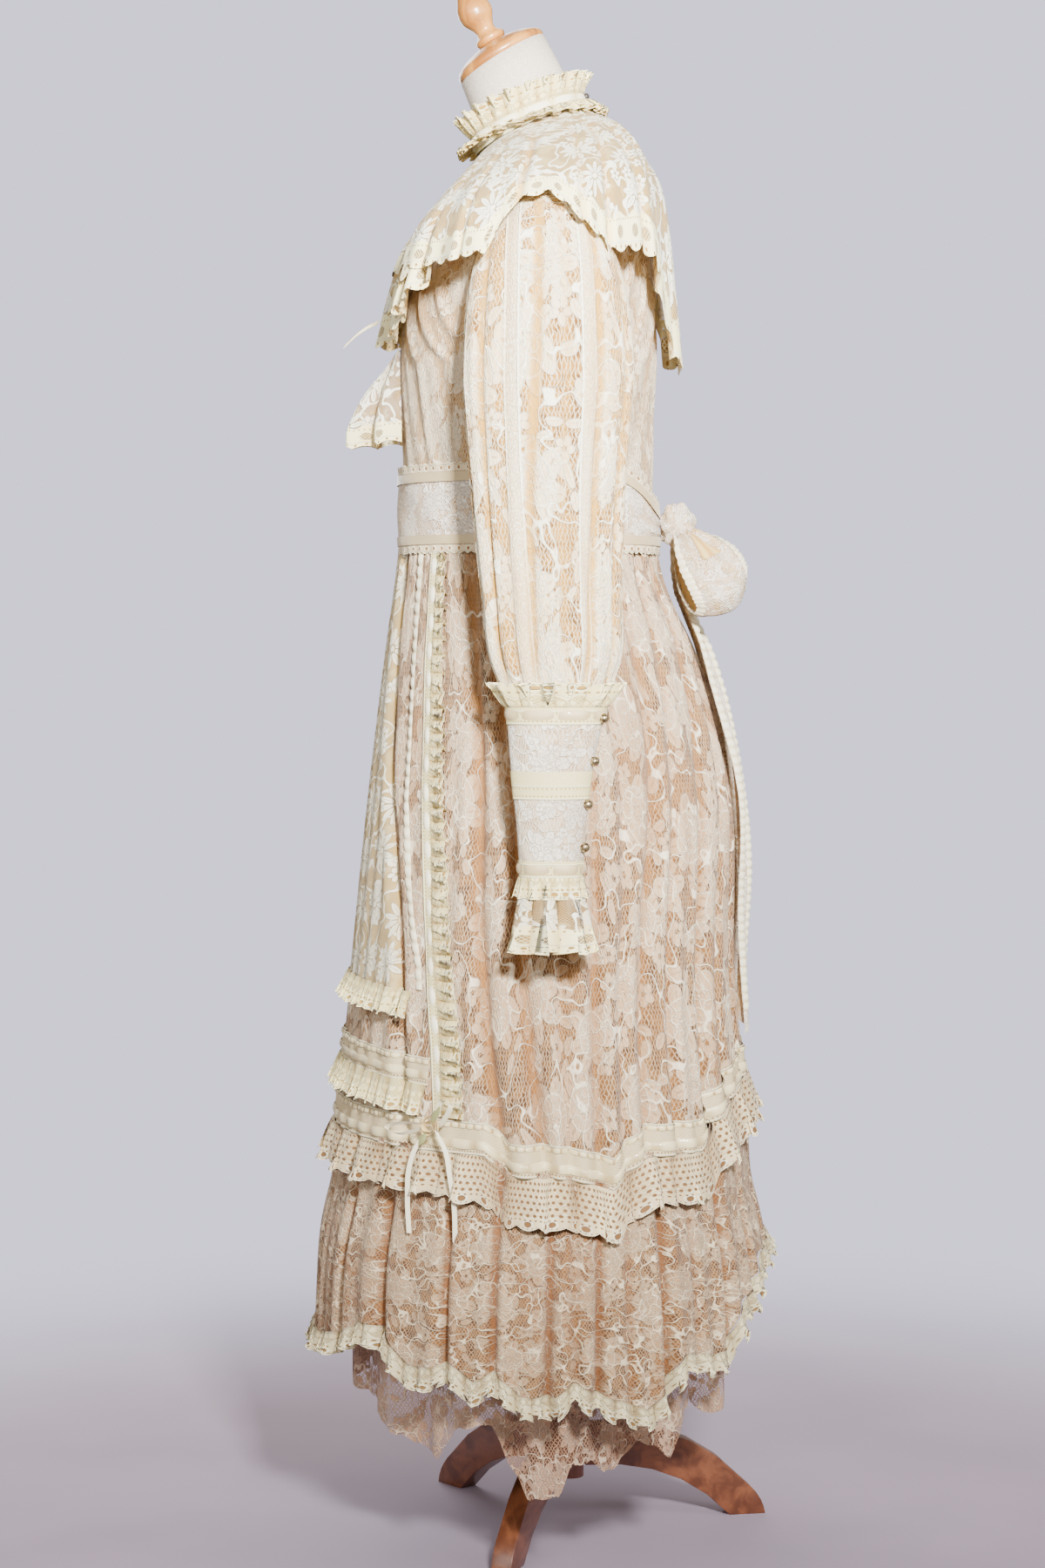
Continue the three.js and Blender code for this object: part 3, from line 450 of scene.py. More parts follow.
def eyeletLace(name, look):
    # gathered edging: scallops with a round eyelet in each, pinholes, waves and a fine mesh
    finish = Finish(name)
    run, edge = finish.mapped("edge")
    paintedShade = finish.paintedShade()
    pitch = look["scallop"]
    eyelets = holes(run, edge, pitch, look["eyelet"] + 2.9, look["eyelet"])
    rings = holes(run, edge, pitch, look["eyelet"] + 2.9, look["eyelet"] + 1.2)
    pinholes = holes(run, edge, pitch / 4, 8.6, 0.7).most(
        holes(run, edge, pitch / 5, 1.7, 0.4))
    for number, at in enumerate(look.get("rows", ())):
        pinholes = pinholes.most(holes(run + number % 2 * pitch / 6, edge, pitch / 3, at, 1.35))
    wave = edge - 12.5 - (run * (math.tau / pitch)).math("COSINE") * 2.2
    cord = edged(wave, 0.9).most(edged(edge, 1.1)).most(edged(wave - 9, 0.9))
    mesh = netting(run, edge, look["cell"], look["cell"], 0.25)
    buds = holes(run, edge, pitch / 2, 18, 2.1).most(holes(run, edge, pitch / 2, 29, 2.4))
    meshZone = wave.fade(0.5, 1.2) * (1 - buds)
    gaps = eyelets.most(pinholes).most(meshZone * (1 - mesh) * look["openMesh"])
    solid = finish.blend(cord.most(rings - eyelets), look["cloth"], look["cord"])
    # the holes are painted in the gap tone as painted shade behind them, and the gathers' hollows get
    # painted shade
    colour = finish.blend(gaps, solid, look["gap"])
    colour = finish.blend(paintedShade * 0.75, colour, look["shade"])
    height = 1 - gaps + cord * 0.5 + (rings - eyelets) * 0.4
    return finish.finished(
        {"Roughness": 0.78, "Sheen Weight": 0.12},
        Base_Color=colour, Normal=finish.relief(height, 0.7))


def beadingLace(name, look):
    # the flat tape that ribbon is threaded through: corded edges and a ladder of bars
    finish = Finish(name)
    run, edge = finish.mapped("edge")
    paintedShade = finish.paintedShade()
    cords = edged(edge - 1, 0.9).most(edged(edge - look["wide"] + 1, 0.9))
    ladder = holes(run, edge, 3.4, 3.2, 0.7).most(
        holes(run, edge, 3.4, look["wide"] - 3.2, 0.7))
    mesh = netting(run, edge, 2.4, 2.4, 0.3)
    gaps = ladder.most((1 - mesh) * 0.35) * (1 - cords)
    # the ladder's holes are painted in the gap tone as painted shade, and painted shade falls in the
    # hollows
    colour = finish.blend(cords, finish.blend(gaps, look["cloth"], look["gap"]), look["cord"])
    colour = finish.blend(paintedShade * 0.7, colour, look["shade"])
    return finish.finished(
        {"Roughness": 0.78}, Base_Color=colour, Normal=finish.relief(cords + mesh * 0.4, 0.8))


def satin(name, colour, shade, roughness=0.27):
    # woven ribbon: fine ribs across, a sheen along, painted shade where it turns under and random clouds
    # of that darker tone
    finish = Finish(name)
    run, edge = finish.mapped("edge")
    ribs = (run * (math.tau / 0.9)).math("SINE") * 0.5 + 0.5
    cloud = finish.noise(run, edge, 14)
    tint = finish.blend((finish.paintedShade() * 0.9 + cloud * 0.15).least(1), colour, shade)
    return finish.finished(
        {"Coat Weight": 0.15, "Sheen Weight": 0.2}, Base_Color=tint,
        Roughness=cloud * 0.14 + roughness, Normal=finish.relief(ribs, 0.08))


def linen():
    finish = Finish("linen")
    place = finish.node("TexCoord", output=3)
    parts = finish.node("SeparateXYZ", None, {0: place})
    turn = parts.math("ARCTAN2", parts.out("Y")) * 90
    height = parts.out("Z") * 1000
    weft = finish.noise(turn / 9, height, 0.9, 1)
    warp = finish.noise(turn, height / 9, 0.9, 1)
    weave = weft.most(warp)
    cloud = finish.noise(turn, height, 60, 3)
    colour = finish.blend(weave.fade(0.35, 0.75), tone(196, 182, 164), tone(222, 210, 194))
    colour = finish.blend(cloud * 0.35, colour, tone(198, 184, 170))
    return finish.finished({"Roughness": 0.88}, Base_Color=colour, Normal=finish.relief(weave, 0.35))


def wood(name, light, dark, roughness, along="Z"):
    # grain runs along one axis; fine pores and slow bands of colour
    finish = Finish(name)
    place = finish.node("TexCoord", output=3)
    scale = {"X": (8, 110, 110), "Y": (110, 8, 110), "Z": (110, 110, 8)}[along]
    grain = finish.node("Mapping", None, {"Vector": place, "Scale": scale})
    bands = finish.node("TexNoise", None,
                        {"Vector": grain, "Scale": 0.45, "Detail": 4, "Distortion": 0.6})
    pores = finish.node("TexNoise", None, {"Vector": grain, "Scale": 4, "Detail": 2})
    wear = finish.node("TexNoise", None, {"Vector": place, "Scale": 14, "Detail": 3})
    colour = finish.blend(bands.fade(0.36, 0.64), light, dark)
    colour = finish.blend(pores.fade(0.58, 0.75) * 0.45, colour, dark)
    return finish.finished(
        {"Coat Weight": 0.35, "Coat Roughness": 0.22}, Base_Color=colour,
        Roughness=wear * 0.2 + roughness, Normal=finish.relief(pores, 0.12))


def silver():
    finish = Finish("silver")
    place = finish.node("TexCoord", output=3)
    tarnish = finish.node("TexNoise", None, {"Vector": place, "Scale": 420, "Detail": 3})
    colour = finish.blend(tarnish.fade(0.42, 0.66), tone(206, 188, 150), tone(88, 70, 50))
    return finish.finished({"Metallic": 1.0}, Base_Color=colour, Roughness=tarnish * 0.4 + 0.12)


def floorPaint():
    finish = Finish("floor")
    place = finish.node("TexCoord", output=3)
    cloud = finish.node("TexNoise", None, {"Vector": place, "Scale": 2.4, "Detail": 3})
    parts = finish.node("SeparateXYZ", None, {0: place})
    y = parts.out("Y")
    away = (parts * parts + y * y).math("SQRT")
    clouded = cloud.fade(0.4, 0.65) * 0.5
    colour = finish.blend(clouded, tone(*studio["floor"]), tone(*studio["floorCloud"]))
    alpha = 1 - away.fade(*studio["floorFade"])
    return finish.finished({"Roughness": 0.9}, Base_Color=colour, Alpha=alpha)


# copies of the edging with their own tones; their gap and shade tones are painted shade as well
peachTrim = {**trim, "cloth": tone(228, 208, 170), "gap": tone(160, 114, 66), "shade": tone(168, 122, 70)}
ruffleTrim = {**trim, "cloth": tone(236, 216, 170), "cord": tone(255, 249, 220),
              "gap": tone(120, 82, 40), "shade": tone(140, 98, 56), "scallop": 15, "eyelet": 2.4,
              "cell": 3.8, "openMesh": 0.3, "rows": (13, 18.5, 24, 29.5, 35, 40.5)}
hemTrim = {**trim, "cloth": tone(226, 214, 170), "cord": tone(250, 244, 214), "gap": tone(136, 100, 52),
           "shade": tone(132, 98, 46)}
finishes = {
    "mainLace": floralLace("mainLace", floral["main"]),
    # a lighter copy of the main lace, partly the bodice's own paler tone and partly painted light lifting
    # the shade under the cape
    "bodiceLace": floralLace("bodiceLace", {**floral["main"], "bloom": 50, "bud": 23,
                                            "cloth": tone(232, 208, 172), "gap": tone(188, 146, 90),
                                            "gapShade": tone(150, 108, 58), "shade": tone(200, 154, 88)}),
    "sleeveLace": floralLace("sleeveLace", floral["sleeve"]),
    "peachLace": floralLace("peachLace", floral["peach"]),
    "underLace": floralLace("underLace", floral["under"]),
    "sashLace": floralLace("sashLace", floral["sash"]),
    "cuffLace": floralLace("cuffLace", {**floral["main"], "bloom": 44, "bud": 20, "stretch": 1.0,
                                        "cloth": tone(240, 232, 216), "gap": tone(214, 190, 154),
                                        "gapShade": tone(180, 150, 112)}),
    "daisyLace": daisyLace("daisyLace", daisy, 0.75),
    "panelDaisy": daisyLace("panelDaisy", {**daisy, "cloth": tone(250, 242, 214),
                                           "net": tone(222, 198, 146), "gap": tone(168, 132, 66)}, 0.9),
    "sheerDaisy": daisyLace("sheerDaisy", {**daisy, "net": tone(210, 182, 140)}, 0.3),
    "creamTrim": eyeletLace("creamTrim", trim),
    "tierTrim": eyeletLace("tierTrim", {**peachTrim, "scallop": 11}),
    "ruffleLace": eyeletLace("ruffleLace", ruffleTrim),
    "hemLace": eyeletLace("hemLace", hemTrim),
    "beading": beadingLace("beading", {**trim, "wide": 13}),
    "wideBeading": beadingLace("wideBeading", {**trim, "wide": 17}),
    "tierBeading2": beadingLace("tierBeading2", {**ruffleTrim, "wide": 25}),
    "tierBeading3": beadingLace("tierBeading3", {**ruffleTrim, "wide": 29}),
    # each satin's second tone is its painted shade
    "satin": satin("satin", tone(250, 242, 212), tone(214, 192, 132)),
    "bandSatin": satin("bandSatin", tone(244, 228, 178), tone(164, 126, 66), 0.24),
    "tanSatin": satin("tanSatin", tone(206, 184, 138), tone(160, 132, 88), 0.34),
    "goldSatin": satin("goldSatin", tone(240, 214, 140), tone(200, 150, 80), 0.3),
    "rose": satin("rose", tone(240, 216, 152), tone(184, 138, 70), 0.4),
    "leafSatin": satin("leafSatin", tone(150, 150, 96), tone(96, 100, 56), 0.4),
    "linen": linen(),
    "lightWood": wood("lightWood", tone(196, 134, 62), tone(150, 92, 36), 0.24),
    "darkWood": wood("darkWood", tone(132, 78, 48), tone(94, 50, 28), 0.3, "X"),
    "postWood": wood("postWood", tone(120, 66, 44), tone(84, 44, 28), 0.32),
    "silver": silver(),
    "darkStud": satin("darkStud", tone(52, 44, 40), tone(30, 26, 24), 0.3),
    "floor": floorPaint(),
}
print(len(finishes), "finishes are ready")


# ---- the cloth's shapes ----
sheets, trimmings = [], {}
narrowest = 0.01              # metres: a sheet of its own is at least this wide
weldGap = 2e-6                # metres, where a tube's grid meets itself
solidGap = 1e-5               # metres, between the corners of a solid's faces


def smoothRows(table, by, value):
    # a smooth curve through the rows of a table, read at many values at once
    places = np.array(table[by], float)
    value = np.clip(value, places[0], places[-1])
    i = np.clip(np.searchsorted(places, value, side="right") - 1, 0, len(places) - 2)
    span = places[i + 1] - places[i]
    t = (value - places[i]) / span
    found = {}
    for name, column in table.items():
        if name == by:
            continue
        column = np.array(column, float)
        slope = np.gradient(column, places)
        found[name] = ((2 * t ** 3 - 3 * t ** 2 + 1) * column[i]
                       + (t ** 3 - 2 * t ** 2 + t) * span * slope[i]
                       + (3 * t ** 2 - 2 * t ** 3) * column[i + 1]
                       + (t ** 3 - t ** 2) * span * slope[i + 1])
    return found


def columns(names, rows):
    return dict(zip(names, zip(*rows)))


def stacked(x, y, z):
    return np.stack(np.broadcast_arrays(x, y, z), axis=-1).astype(float)


def flatSpot(across, down):
    return stacked(across, down, 0)[..., :2]


def ringPoint(ring, bearing, height=None, squareness=1.0):
    # bearing 0 is the centre front, 90 the wearer's left and 180 the centre back
    across, along = np.sin(np.radians(bearing)), -np.cos(np.radians(bearing))
    if height is None:
        tilt = (ring["zBack"] - ring["zFront"]) / 2 * along
        dish = ((ring["zBack"] + ring["zFront"]) / 2 - ring["zSide"]) * along ** 2
        height = ring["zSide"] + tilt + dish
    bentAcross = np.sign(across) * np.abs(across) ** squareness
    bentAlong = np.sign(along) * np.abs(along) ** squareness
    middle = (ring["yFront"] + ring["yBack"]) / 2
    halfDepth = (ring["yBack"] - ring["yFront"]) / 2
    return stacked(ring["halfWidth"] * bentAcross, middle + halfDepth * bentAlong, height)


def outwards(bearing):
    turn = np.radians(bearing)
    return stacked(np.sin(turn), -np.cos(turn), 0)


def scaled(vectors, length):
    return vectors * np.broadcast_to(length, vectors.shape[:-1])[..., None]


def turned(bearing):
    # a bearing as -180 to 180
    return (np.asarray(bearing) + 180) % 360 - 180


def wander(turns, seed):
    # an uneven wave that meets itself after a whole turn
    waves = [np.sin(math.tau * n * turns + seed * (1.7 * n + 1)) / (1.2 + 0.3 * n)
             for n in (2, 3, 5, 7, 11)]
    return sum(waves) * 0.6


def troughs(bearing, level, folds, perDegree):
    # how far the listed folds push the cloth out or in, and how much painted shade lies in each fold's
    # hollow
    push, paintedShade = 0, 0
    levels = folds["trackLevels"]
    for *bearings, low, high, wide in folds["tracks"]:
        away = turned(bearing - np.interp(level, levels, bearings)) * perDegree
        depth = np.interp(level, [levels[0], levels[-1]], [low, high])
        bell = np.exp(-(away / wide) ** 2)
        shoulder = np.exp(-((np.abs(away) - 2.1 * wide) / (1.3 * wide)) ** 2)
        push = push + depth * (0.35 * shoulder - bell)
        share = min(max(low, high) / folds["deepest"], 1) ** 1.5
        paintedShade = paintedShade + np.exp(-(away / (0.9 * wide)) ** 4) * share
    return push, np.clip(paintedShade, 0, 1)


def bothSides(tracks):
    # the other side's folds are alike, but not the same
    other = []
    for i, (*bearings, low, high, wide) in enumerate(tracks):
        shift = 2.6 * math.sin(2.4 * i + 1)
        share = 0.9 + 0.18 * math.sin(3.7 * i)
        other.append([*(-b - shift for b in bearings), low * share, high * share, wide])
    return [list(track) for track in tracks] + other


def meshOf(bm, name):
    mesh = bpy.data.meshes.new(name)
    bm.to_mesh(mesh)
    bm.free()
    return mesh


def clothPiece(name, shape, columnCount, rowCount, finish, slot, stands=(), closed=False,
               mirror=False, flat=None, held="hung", rests=(), area=None):
    # a fine grid laid on a shape; u runs along it and v from its lower edge to its upper one
    bm = bmesh.new()
    bmesh.ops.create_grid(bm, x_segments=columnCount, y_segments=rowCount, size=1)
    mesh = meshOf(bm, name)
    spots = np.empty(len(mesh.vertices) * 3)
    mesh.vertices.foreach_get("co", spots)
    spots = spots.reshape(-1, 3)
    made = shape((spots[:, 0] + 1) / 2, (spots[:, 1] + 1) / 2)
    points = made["points"] * ((-1, 1, 1) if mirror else (1, 1, 1))
    mesh.vertices.foreach_set("co", toFrame(points).ravel())
    corner = np.empty(len(mesh.loops), int)
    mesh.loops.foreach_get("vertex_index", corner)
    for layer in ("cloth", "edge"):
        uv = np.asarray(made.get(layer, made["edge"]))[corner] * metre
        mesh.uv_layers.new(name=layer).data.foreach_set("uv", uv.ravel())
    # each point's share of painted shade, which the finishes read to darken fold hollows
    paintedShade = np.clip(np.broadcast_to(made.get("paintedShade", 0.0), len(spots)), 0, 1)
    mesh.attributes.new("paintedShade", "FLOAT", "POINT").data.foreach_set("value", paintedShade)
    if mirror:
        mesh.flip_normals()
    if closed:
        bm = bmesh.new()
        bm.from_mesh(mesh)
        bmesh.ops.remove_doubles(bm, verts=bm.verts, dist=weldGap)
        bm.to_mesh(mesh)
        bm.free()
    mesh.shade_smooth()
    return placed(name, mesh, finish, slot, stands, flat, held, rests, area)


def placed(name, mesh, finish, slot, stands=(), flat=None, held="hung", rests=(), area=None):
    piece = bpy.data.objects.new(name, mesh)
    bpy.context.scene.collection.objects.link(piece)
    piece.data.materials.clear()
    piece.data.materials.append(finishes[finish])
    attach(piece, "root")
    if stands:
        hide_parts(*stands)
    if flat and min(flat) < narrowest:
        trimmings.setdefault(rests[0], []).append(piece)
    elif flat:
        facts = {"flat": flat, "held": held, "rests_on": list(rests), "area": area}
        sheets.append((piece, facts))
    return piece


def frill(name, place, look, finish, slot, stands=(), closed=False, mirror=False, rests=()):
    # place(s, t, out): s of its seam's length, t millimetres from the seam, out of the cloth
    length, gathers = look["length"], look["gathers"]
    cut = length * look["fullness"]

    def shape(u, v):
        fall = 1 - v
        width = look["width"](u) if callable(look["width"]) else look["width"]
        phase = math.tau * gathers * u + look["unevenness"] * wander(u, gathers)
        opened = fall ** look.get("opening", 0.8)
        depth = look["depth"] * (1 + 0.3 * wander(u, gathers + 3))
        crimp = 0.5 * look["depth"] * (1 - fall) * fall * 4 * np.sin(2 * phase + 1)
        out = look["clear"] + look["flare"] * fall + depth * opened * np.sin(phase) + crimp * 0.4
        side = look["lean"] * opened * np.sin(2 * phase) / length
        scallop = np.abs(np.sin(math.pi * cut * u / look["scallop"]))
        reach = width * fall - look["scallopDepth"] * (1 - scallop) * fall ** 6
        lift = look.get("lift", 0.0) * fall ** 2 * (0.5 + 0.5 * np.sin(phase + 1))
        # painted shade in the hollows of the gathers
        paintedShade = np.clip(0.42 - 0.7 * np.sin(phase), 0, 1) * look.get("shadow", 0.7)
        run = np.broadcast_to(u * cut, u.shape)
        return {"points": place(u + side, reach - lift, out), "paintedShade": paintedShade,
                "edge": flatSpot(run, width * v)}

    count = max(int(cut / look["scallop"]) * 5, gathers * 9)
    sheet = (cut * metre, look.get("flatWidth", look["width"]) * metre)
    return clothPiece(name, shape, count, look.get("rows", 8), finish, slot, stands, closed, mirror,
                      flat=sheet, held="gathered", rests=rests)


def strip(name, place, look, finish, slot, stands=(), closed=False, mirror=False, rests=()):
    # a tape or ribbon laid along a line; it may be puckered, or threaded in and out of a tape
    length, wide = look["length"], look["wide"]
    pitch = look.get("pitch", 0)

    def shape(u, v):
        run = u * length
        beat = np.abs(np.sin(math.pi * run / pitch)) if pitch else 1.0
        rise = look.get("rise", 0) * beat ** look.get("flatness", 0.6)
        pinch = 1 - look.get("pinch", 0) * (1 - beat)
        across = (v - 0.5) * wide * pinch
        bow = 1 - (2 * v - 1) ** 4 * 0.6
        # painted shade where a threaded ribbon dips under its tape
        paintedShade = look.get("shadow", 0.8) * (1 - beat) ** 2 if pitch else 0.0
        out = look["clear"] + rise * bow
        return {"points": place(u, across, out), "paintedShade": paintedShade + 0 * u,
                "edge": flatSpot(run, v * wide)}

    count = int(length / pitch * 6) if pitch else int(length / look.get("step", 4))
    return clothPiece(name, shape, max(count, 4), 4, finish, slot, stands, closed, mirror,
                      flat=(length * metre, wide * metre), held="stretched", rests=rests)


# ---- skirt ----
levelNames = ("height", "yFront", "yBack", "halfWidth")
skirt = {
    "levels": columns(levelNames, [
        (383, -227, 171, 264), (520, -212, 157, 238), (750, -188, 146, 190),
        (850, -176, 116, 168), (930, -165, 84, 146), (985, -159, 79, 137)]),
    "trackLevels": (383, 500, 620, 750, 860, 950),
    # bearings of a fold at those heights, its depth low and high, and its width
    "tracks": bothSides([
        (10, 9, 8, 7, 7, 6, 3, 1, 7), (52, 46, 39, 27, 23, 21, 8, 4, 7),
        (80, 74, 69, 67, 65, 64, 12, 6, 8), (91, 86, 81, 77, 73, 70, 12, 6, 8),
        (97, 95, 94, 92, 90, 88, 6, 3, 5), (105, 105, 104, 102, 99, 96, 10, 4, 7),
        (112, 112, 113, 112, 110, 106, 5, 3, 5), (119, 119, 120, 124, 127, 129, 10, 4, 7),
        (129, 129, 130, 132, 139, 147, 8, 4, 6), (141, 142, 143, 146, 155, 161, 11, 5, 8),
        (152, 152, 153, 158, 165, 168, 6, 3, 6), (164, 164, 164, 168, 174, 176, 10, 4, 8)]),
    "waist": 985, "seam": 383, "cutWidth": 1565.2, "deepest": 14,
    "gathers": 74, "gatherDepth": 1.3, "gatherFall": 75, "ripples": 47, "ripplesFrom": 950,
}
seamRise = columns(("bearing", "rise"), [
    (0, 17), (60, 17), (75, 17), (81, 0), (95, -2), (101, -6), (108, -14), (112, 0), (118, 12),
    (136, 10), (142, 30), (150, 42), (160, 58), (180, 66)])
hem = columns(("bearing", "height"), [
    (0, 201), (14, 203), (31, 219), (41, 238), (48, 236), (56, 209), (63, 212), (67, 220),
    (73, 203), (78, 214), (84, 193), (92, 193), (96, 205), (103, 193), (109, 184), (114, 176),
    (119, 192), (124, 220), (134, 212), (140, 216), (145, 246), (154, 258), (162, 282), (180, 288)])


def around(bearing):
    return np.abs(turned(bearing))


def seamHeight(bearing):
    return skirt["seam"] + np.interp(around(bearing), seamRise["bearing"], seamRise["rise"])


def perDegreeOf(ring):
    return (ring["halfWidth"] + (ring["yBack"] - ring["yFront"]) / 2) / 2 * math.pi / 180


def skirtAt(bearing, height, out=0.0):
    ring = smoothRows(skirt["levels"], "height", height)
    push, paintedShade = troughs(bearing, height, skirt, perDegreeOf(ring))
    turns = np.asarray(bearing) / 360
    gather = np.exp(-((skirt["waist"] - height) / skirt["gatherFall"])) * skirt["gatherDepth"]
    fine = gather * np.sin(math.tau * skirt["gathers"] * turns + 2 * wander(turns, 5))
    lower = np.clip((skirt["ripplesFrom"] - height) / 300, 0, 1)
    ripple = 0.9 * np.sin(math.tau * skirt["ripples"] * turns + 3 * wander(turns, 8))
    fine = fine + lower * (ripple + wander(turns, 2))
    tight = np.clip((skirt["waist"] + 3 - height) / 60, 0, 1)
    push = push * tight + fine
    return ringPoint(ring, bearing, height) + scaled(outwards(bearing), push + out), paintedShade * tight


def onSkirt(bearing, height, out):
    return skirtAt(bearing, height, out)[0]


def makeSkirt():
    def shape(u, v):
        bearing = 360 * u
        low = seamHeight(bearing)
        height = low + v * (skirt["waist"] - low)
        points, paintedShade = skirtAt(bearing, height)
        cloth = flatSpot(u * skirt["cutWidth"], height)
        return {"points": points, "cloth": cloth, "edge": cloth, "paintedShade": paintedShade}

    clothPiece("skirtCloth", shape, 620, 96, "mainLace", "main_lace", ["skirt"], closed=True,
               flat=(1.62, 0.602), area=0.72, held="gathered", rests=["form_torso"])


flounce = {
    "levels": columns(levelNames, [
        (160, -249, 199, 301), (190, -247, 197, 298), (300, -240, 184, 282), (350, -229.5, 173, 267),
        (383, -227, 171, 264), (450, -220, 165, 252)]),
    "trackLevels": (180, 380),
    "tracks": bothSides([
        (13, 14, 9, 3, 6), (30, 31, 8, 3, 6), (47, 46, 14, 6, 8), (65, 66, 12, 5, 5.5),
        (77, 79, 12, 5, 5.5), (90, 93, 13, 6, 6), (97, 98, 6, 3, 4), (102, 105, 12, 5, 5.5),
        (110, 112, 6, 2, 5), (120, 122, 12, 5, 6), (129, 131, 5, 2, 5), (139, 144, 11, 5, 7),
        (153, 157, 8, 3, 6), (168, 171, 9, 4, 7)]),
    "cutWidth": 1720, "deepest": 10, "edgeLength": 1640,
}


def flounceAt(bearing, height, out=0.0):
    ring = smoothRows(flounce["levels"], "height", height)
    push, paintedShade = troughs(bearing, height, flounce, perDegreeOf(ring))
    turns = np.asarray(bearing) / 360
    fine = 1.1 * np.sin(math.tau * 53 * turns + 3 * wander(turns, 3)) + 1.5 * wander(turns, 9)
    loose = np.clip((400 - height) / 120, 0.1, 1)
    push = push + fine * loose
    return ringPoint(ring, bearing, height) + scaled(outwards(bearing), push + out), paintedShade


def hemHeight(bearing):
    return np.interp(around(bearing), hem["bearing"], hem["height"])


def makeFlounce():
    def shape(u, v):
        bearing = 360 * u
        low = hemHeight(bearing)
        height = low + v * (seamHeight(bearing) + 4 - low)
        points, paintedShade = flounceAt(bearing, height)
        cloth = flatSpot(u * flounce["cutWidth"], height)
        return {"points": points, "cloth": cloth, "edge": cloth, "paintedShade": paintedShade}

    clothPiece("flounceCloth", shape, 700, 44, "peachLace", "peach_lace", ["flounce"], closed=True,
               flat=(2.15, 0.19), held="gathered", rests=["skirtCloth"])

    def belowHem(s, t, out):
        bearing = 360 * s
        return flounceAt(bearing, hemHeight(bearing) - t, out)[0]

    look = {"length": flounce["edgeLength"], "fullness": 1.6, "gathers": 84, "width": 22,
            "depth": 5.8, "clear": 1.2, "flare": 3.5, "lean": 5, "unevenness": 3.5, "scallop": 13,
            "scallopDepth": 3.6, "lift": 6, "shadow": 0.8, "opening": 0.55}
    frill("hemFrill", belowHem, look, "hemLace", "cream_trim", ["hem_frill"], closed=True,
          rests=["flounceCloth"])


underskirt = {
    "levels": columns(levelNames, [
        (80, -205, 153, 248), (400, -202, 148, 234), (560, -195, 143, 214), (750, -178, 134, 178),
        (850, -167, 106, 160), (930, -158, 76, 138), (975, -157.6, 77.5, 136.1)]),
    "hem": columns(("bearing", "height"), [
        (0, 150), (30, 142), (45, 125), (58, 117), (64, 148), (74, 155), (79, 120), (85, 88),
        (94, 93), (97, 120), (104, 122), (108, 110), (113, 112), (119, 132), (124, 128), (129, 114),
        (134, 145), (142, 160), (147, 140), (153, 138), (160, 165), (170, 150), (180, 158)]),
    "waist": 975, "cutWidth": 1560, "scallops": 66,
}


def underskirtAt(bearing, height, out=0.0):
    ring = smoothRows(underskirt["levels"], "height", height)
    turns = np.asarray(bearing) / 360
    loose = np.clip((900 - height) / 700, 0, 1)
    phase = math.tau * 12 * turns + 1.6 * wander(turns, 4)
    push = loose * (8 * np.sin(phase) + 1.5 * np.sin(3.1 * phase) + 2.5 * wander(turns, 6)) - 1
    # painted shade in the hollows of its folds
    paintedShade = np.clip(-np.sin(phase), 0, 1) * 0.55 * loose
    return ringPoint(ring, bearing, height) + scaled(outwards(bearing), push + out), paintedShade


def makeUnderskirt():
    def shape(u, v):
        bearing = 360 * u
        low = np.interp(around(bearing), underskirt["hem"]["bearing"], underskirt["hem"]["height"])
        low = low - 2.5 * np.abs(np.sin(math.pi * underskirt["scallops"] * u))
        height = low + v ** 1.5 * (underskirt["waist"] - low)
        points, paintedShade = underskirtAt(bearing, height)
        run = u * underskirt["cutWidth"]
        return {"points": points, "cloth": flatSpot(run, height),
                "edge": flatSpot(run, height - low), "paintedShade": paintedShade}

    clothPiece("underskirtCloth", shape, 480, 60, "underLace", "peach_lace", ["underskirt"],
               closed=True, flat=(1.6, 0.88), area=1.05, held="gathered", rests=["form_torso"])


makeSkirt()
makeFlounce()
makeUnderskirt()
print("skirts are in place")

# ---- the skirt's trims ----
trims = {
    "lineHeights": (414, 431, 495, 610, 727, 839, 940),
    "lineBearings": (61.5, 61, 59, 53, 48, 46, 46),
    "ribbonHeights": (541, 563, 639, 713, 839, 940),
    "ribbonBearings": (52, 51, 44, 40, 38, 37),
    "bandWide": 13, "frillTop": 13, "frillLow": 27, "top": 940, "low": 431, "clear": 1.6,
    "panelLow": 536, "ribbonLow": 541,
}


def besideLine(heights, bearings, high, low):
    # a strip that runs down the skirt along a line of bearings
    def place(s, t, out):
        height = high + (low - high) * s
        ring = smoothRows(skirt["levels"], "height", height)
        bearing = np.interp(height, heights, bearings) + t / perDegreeOf(ring)
        return onSkirt(bearing, height, out)
    return place


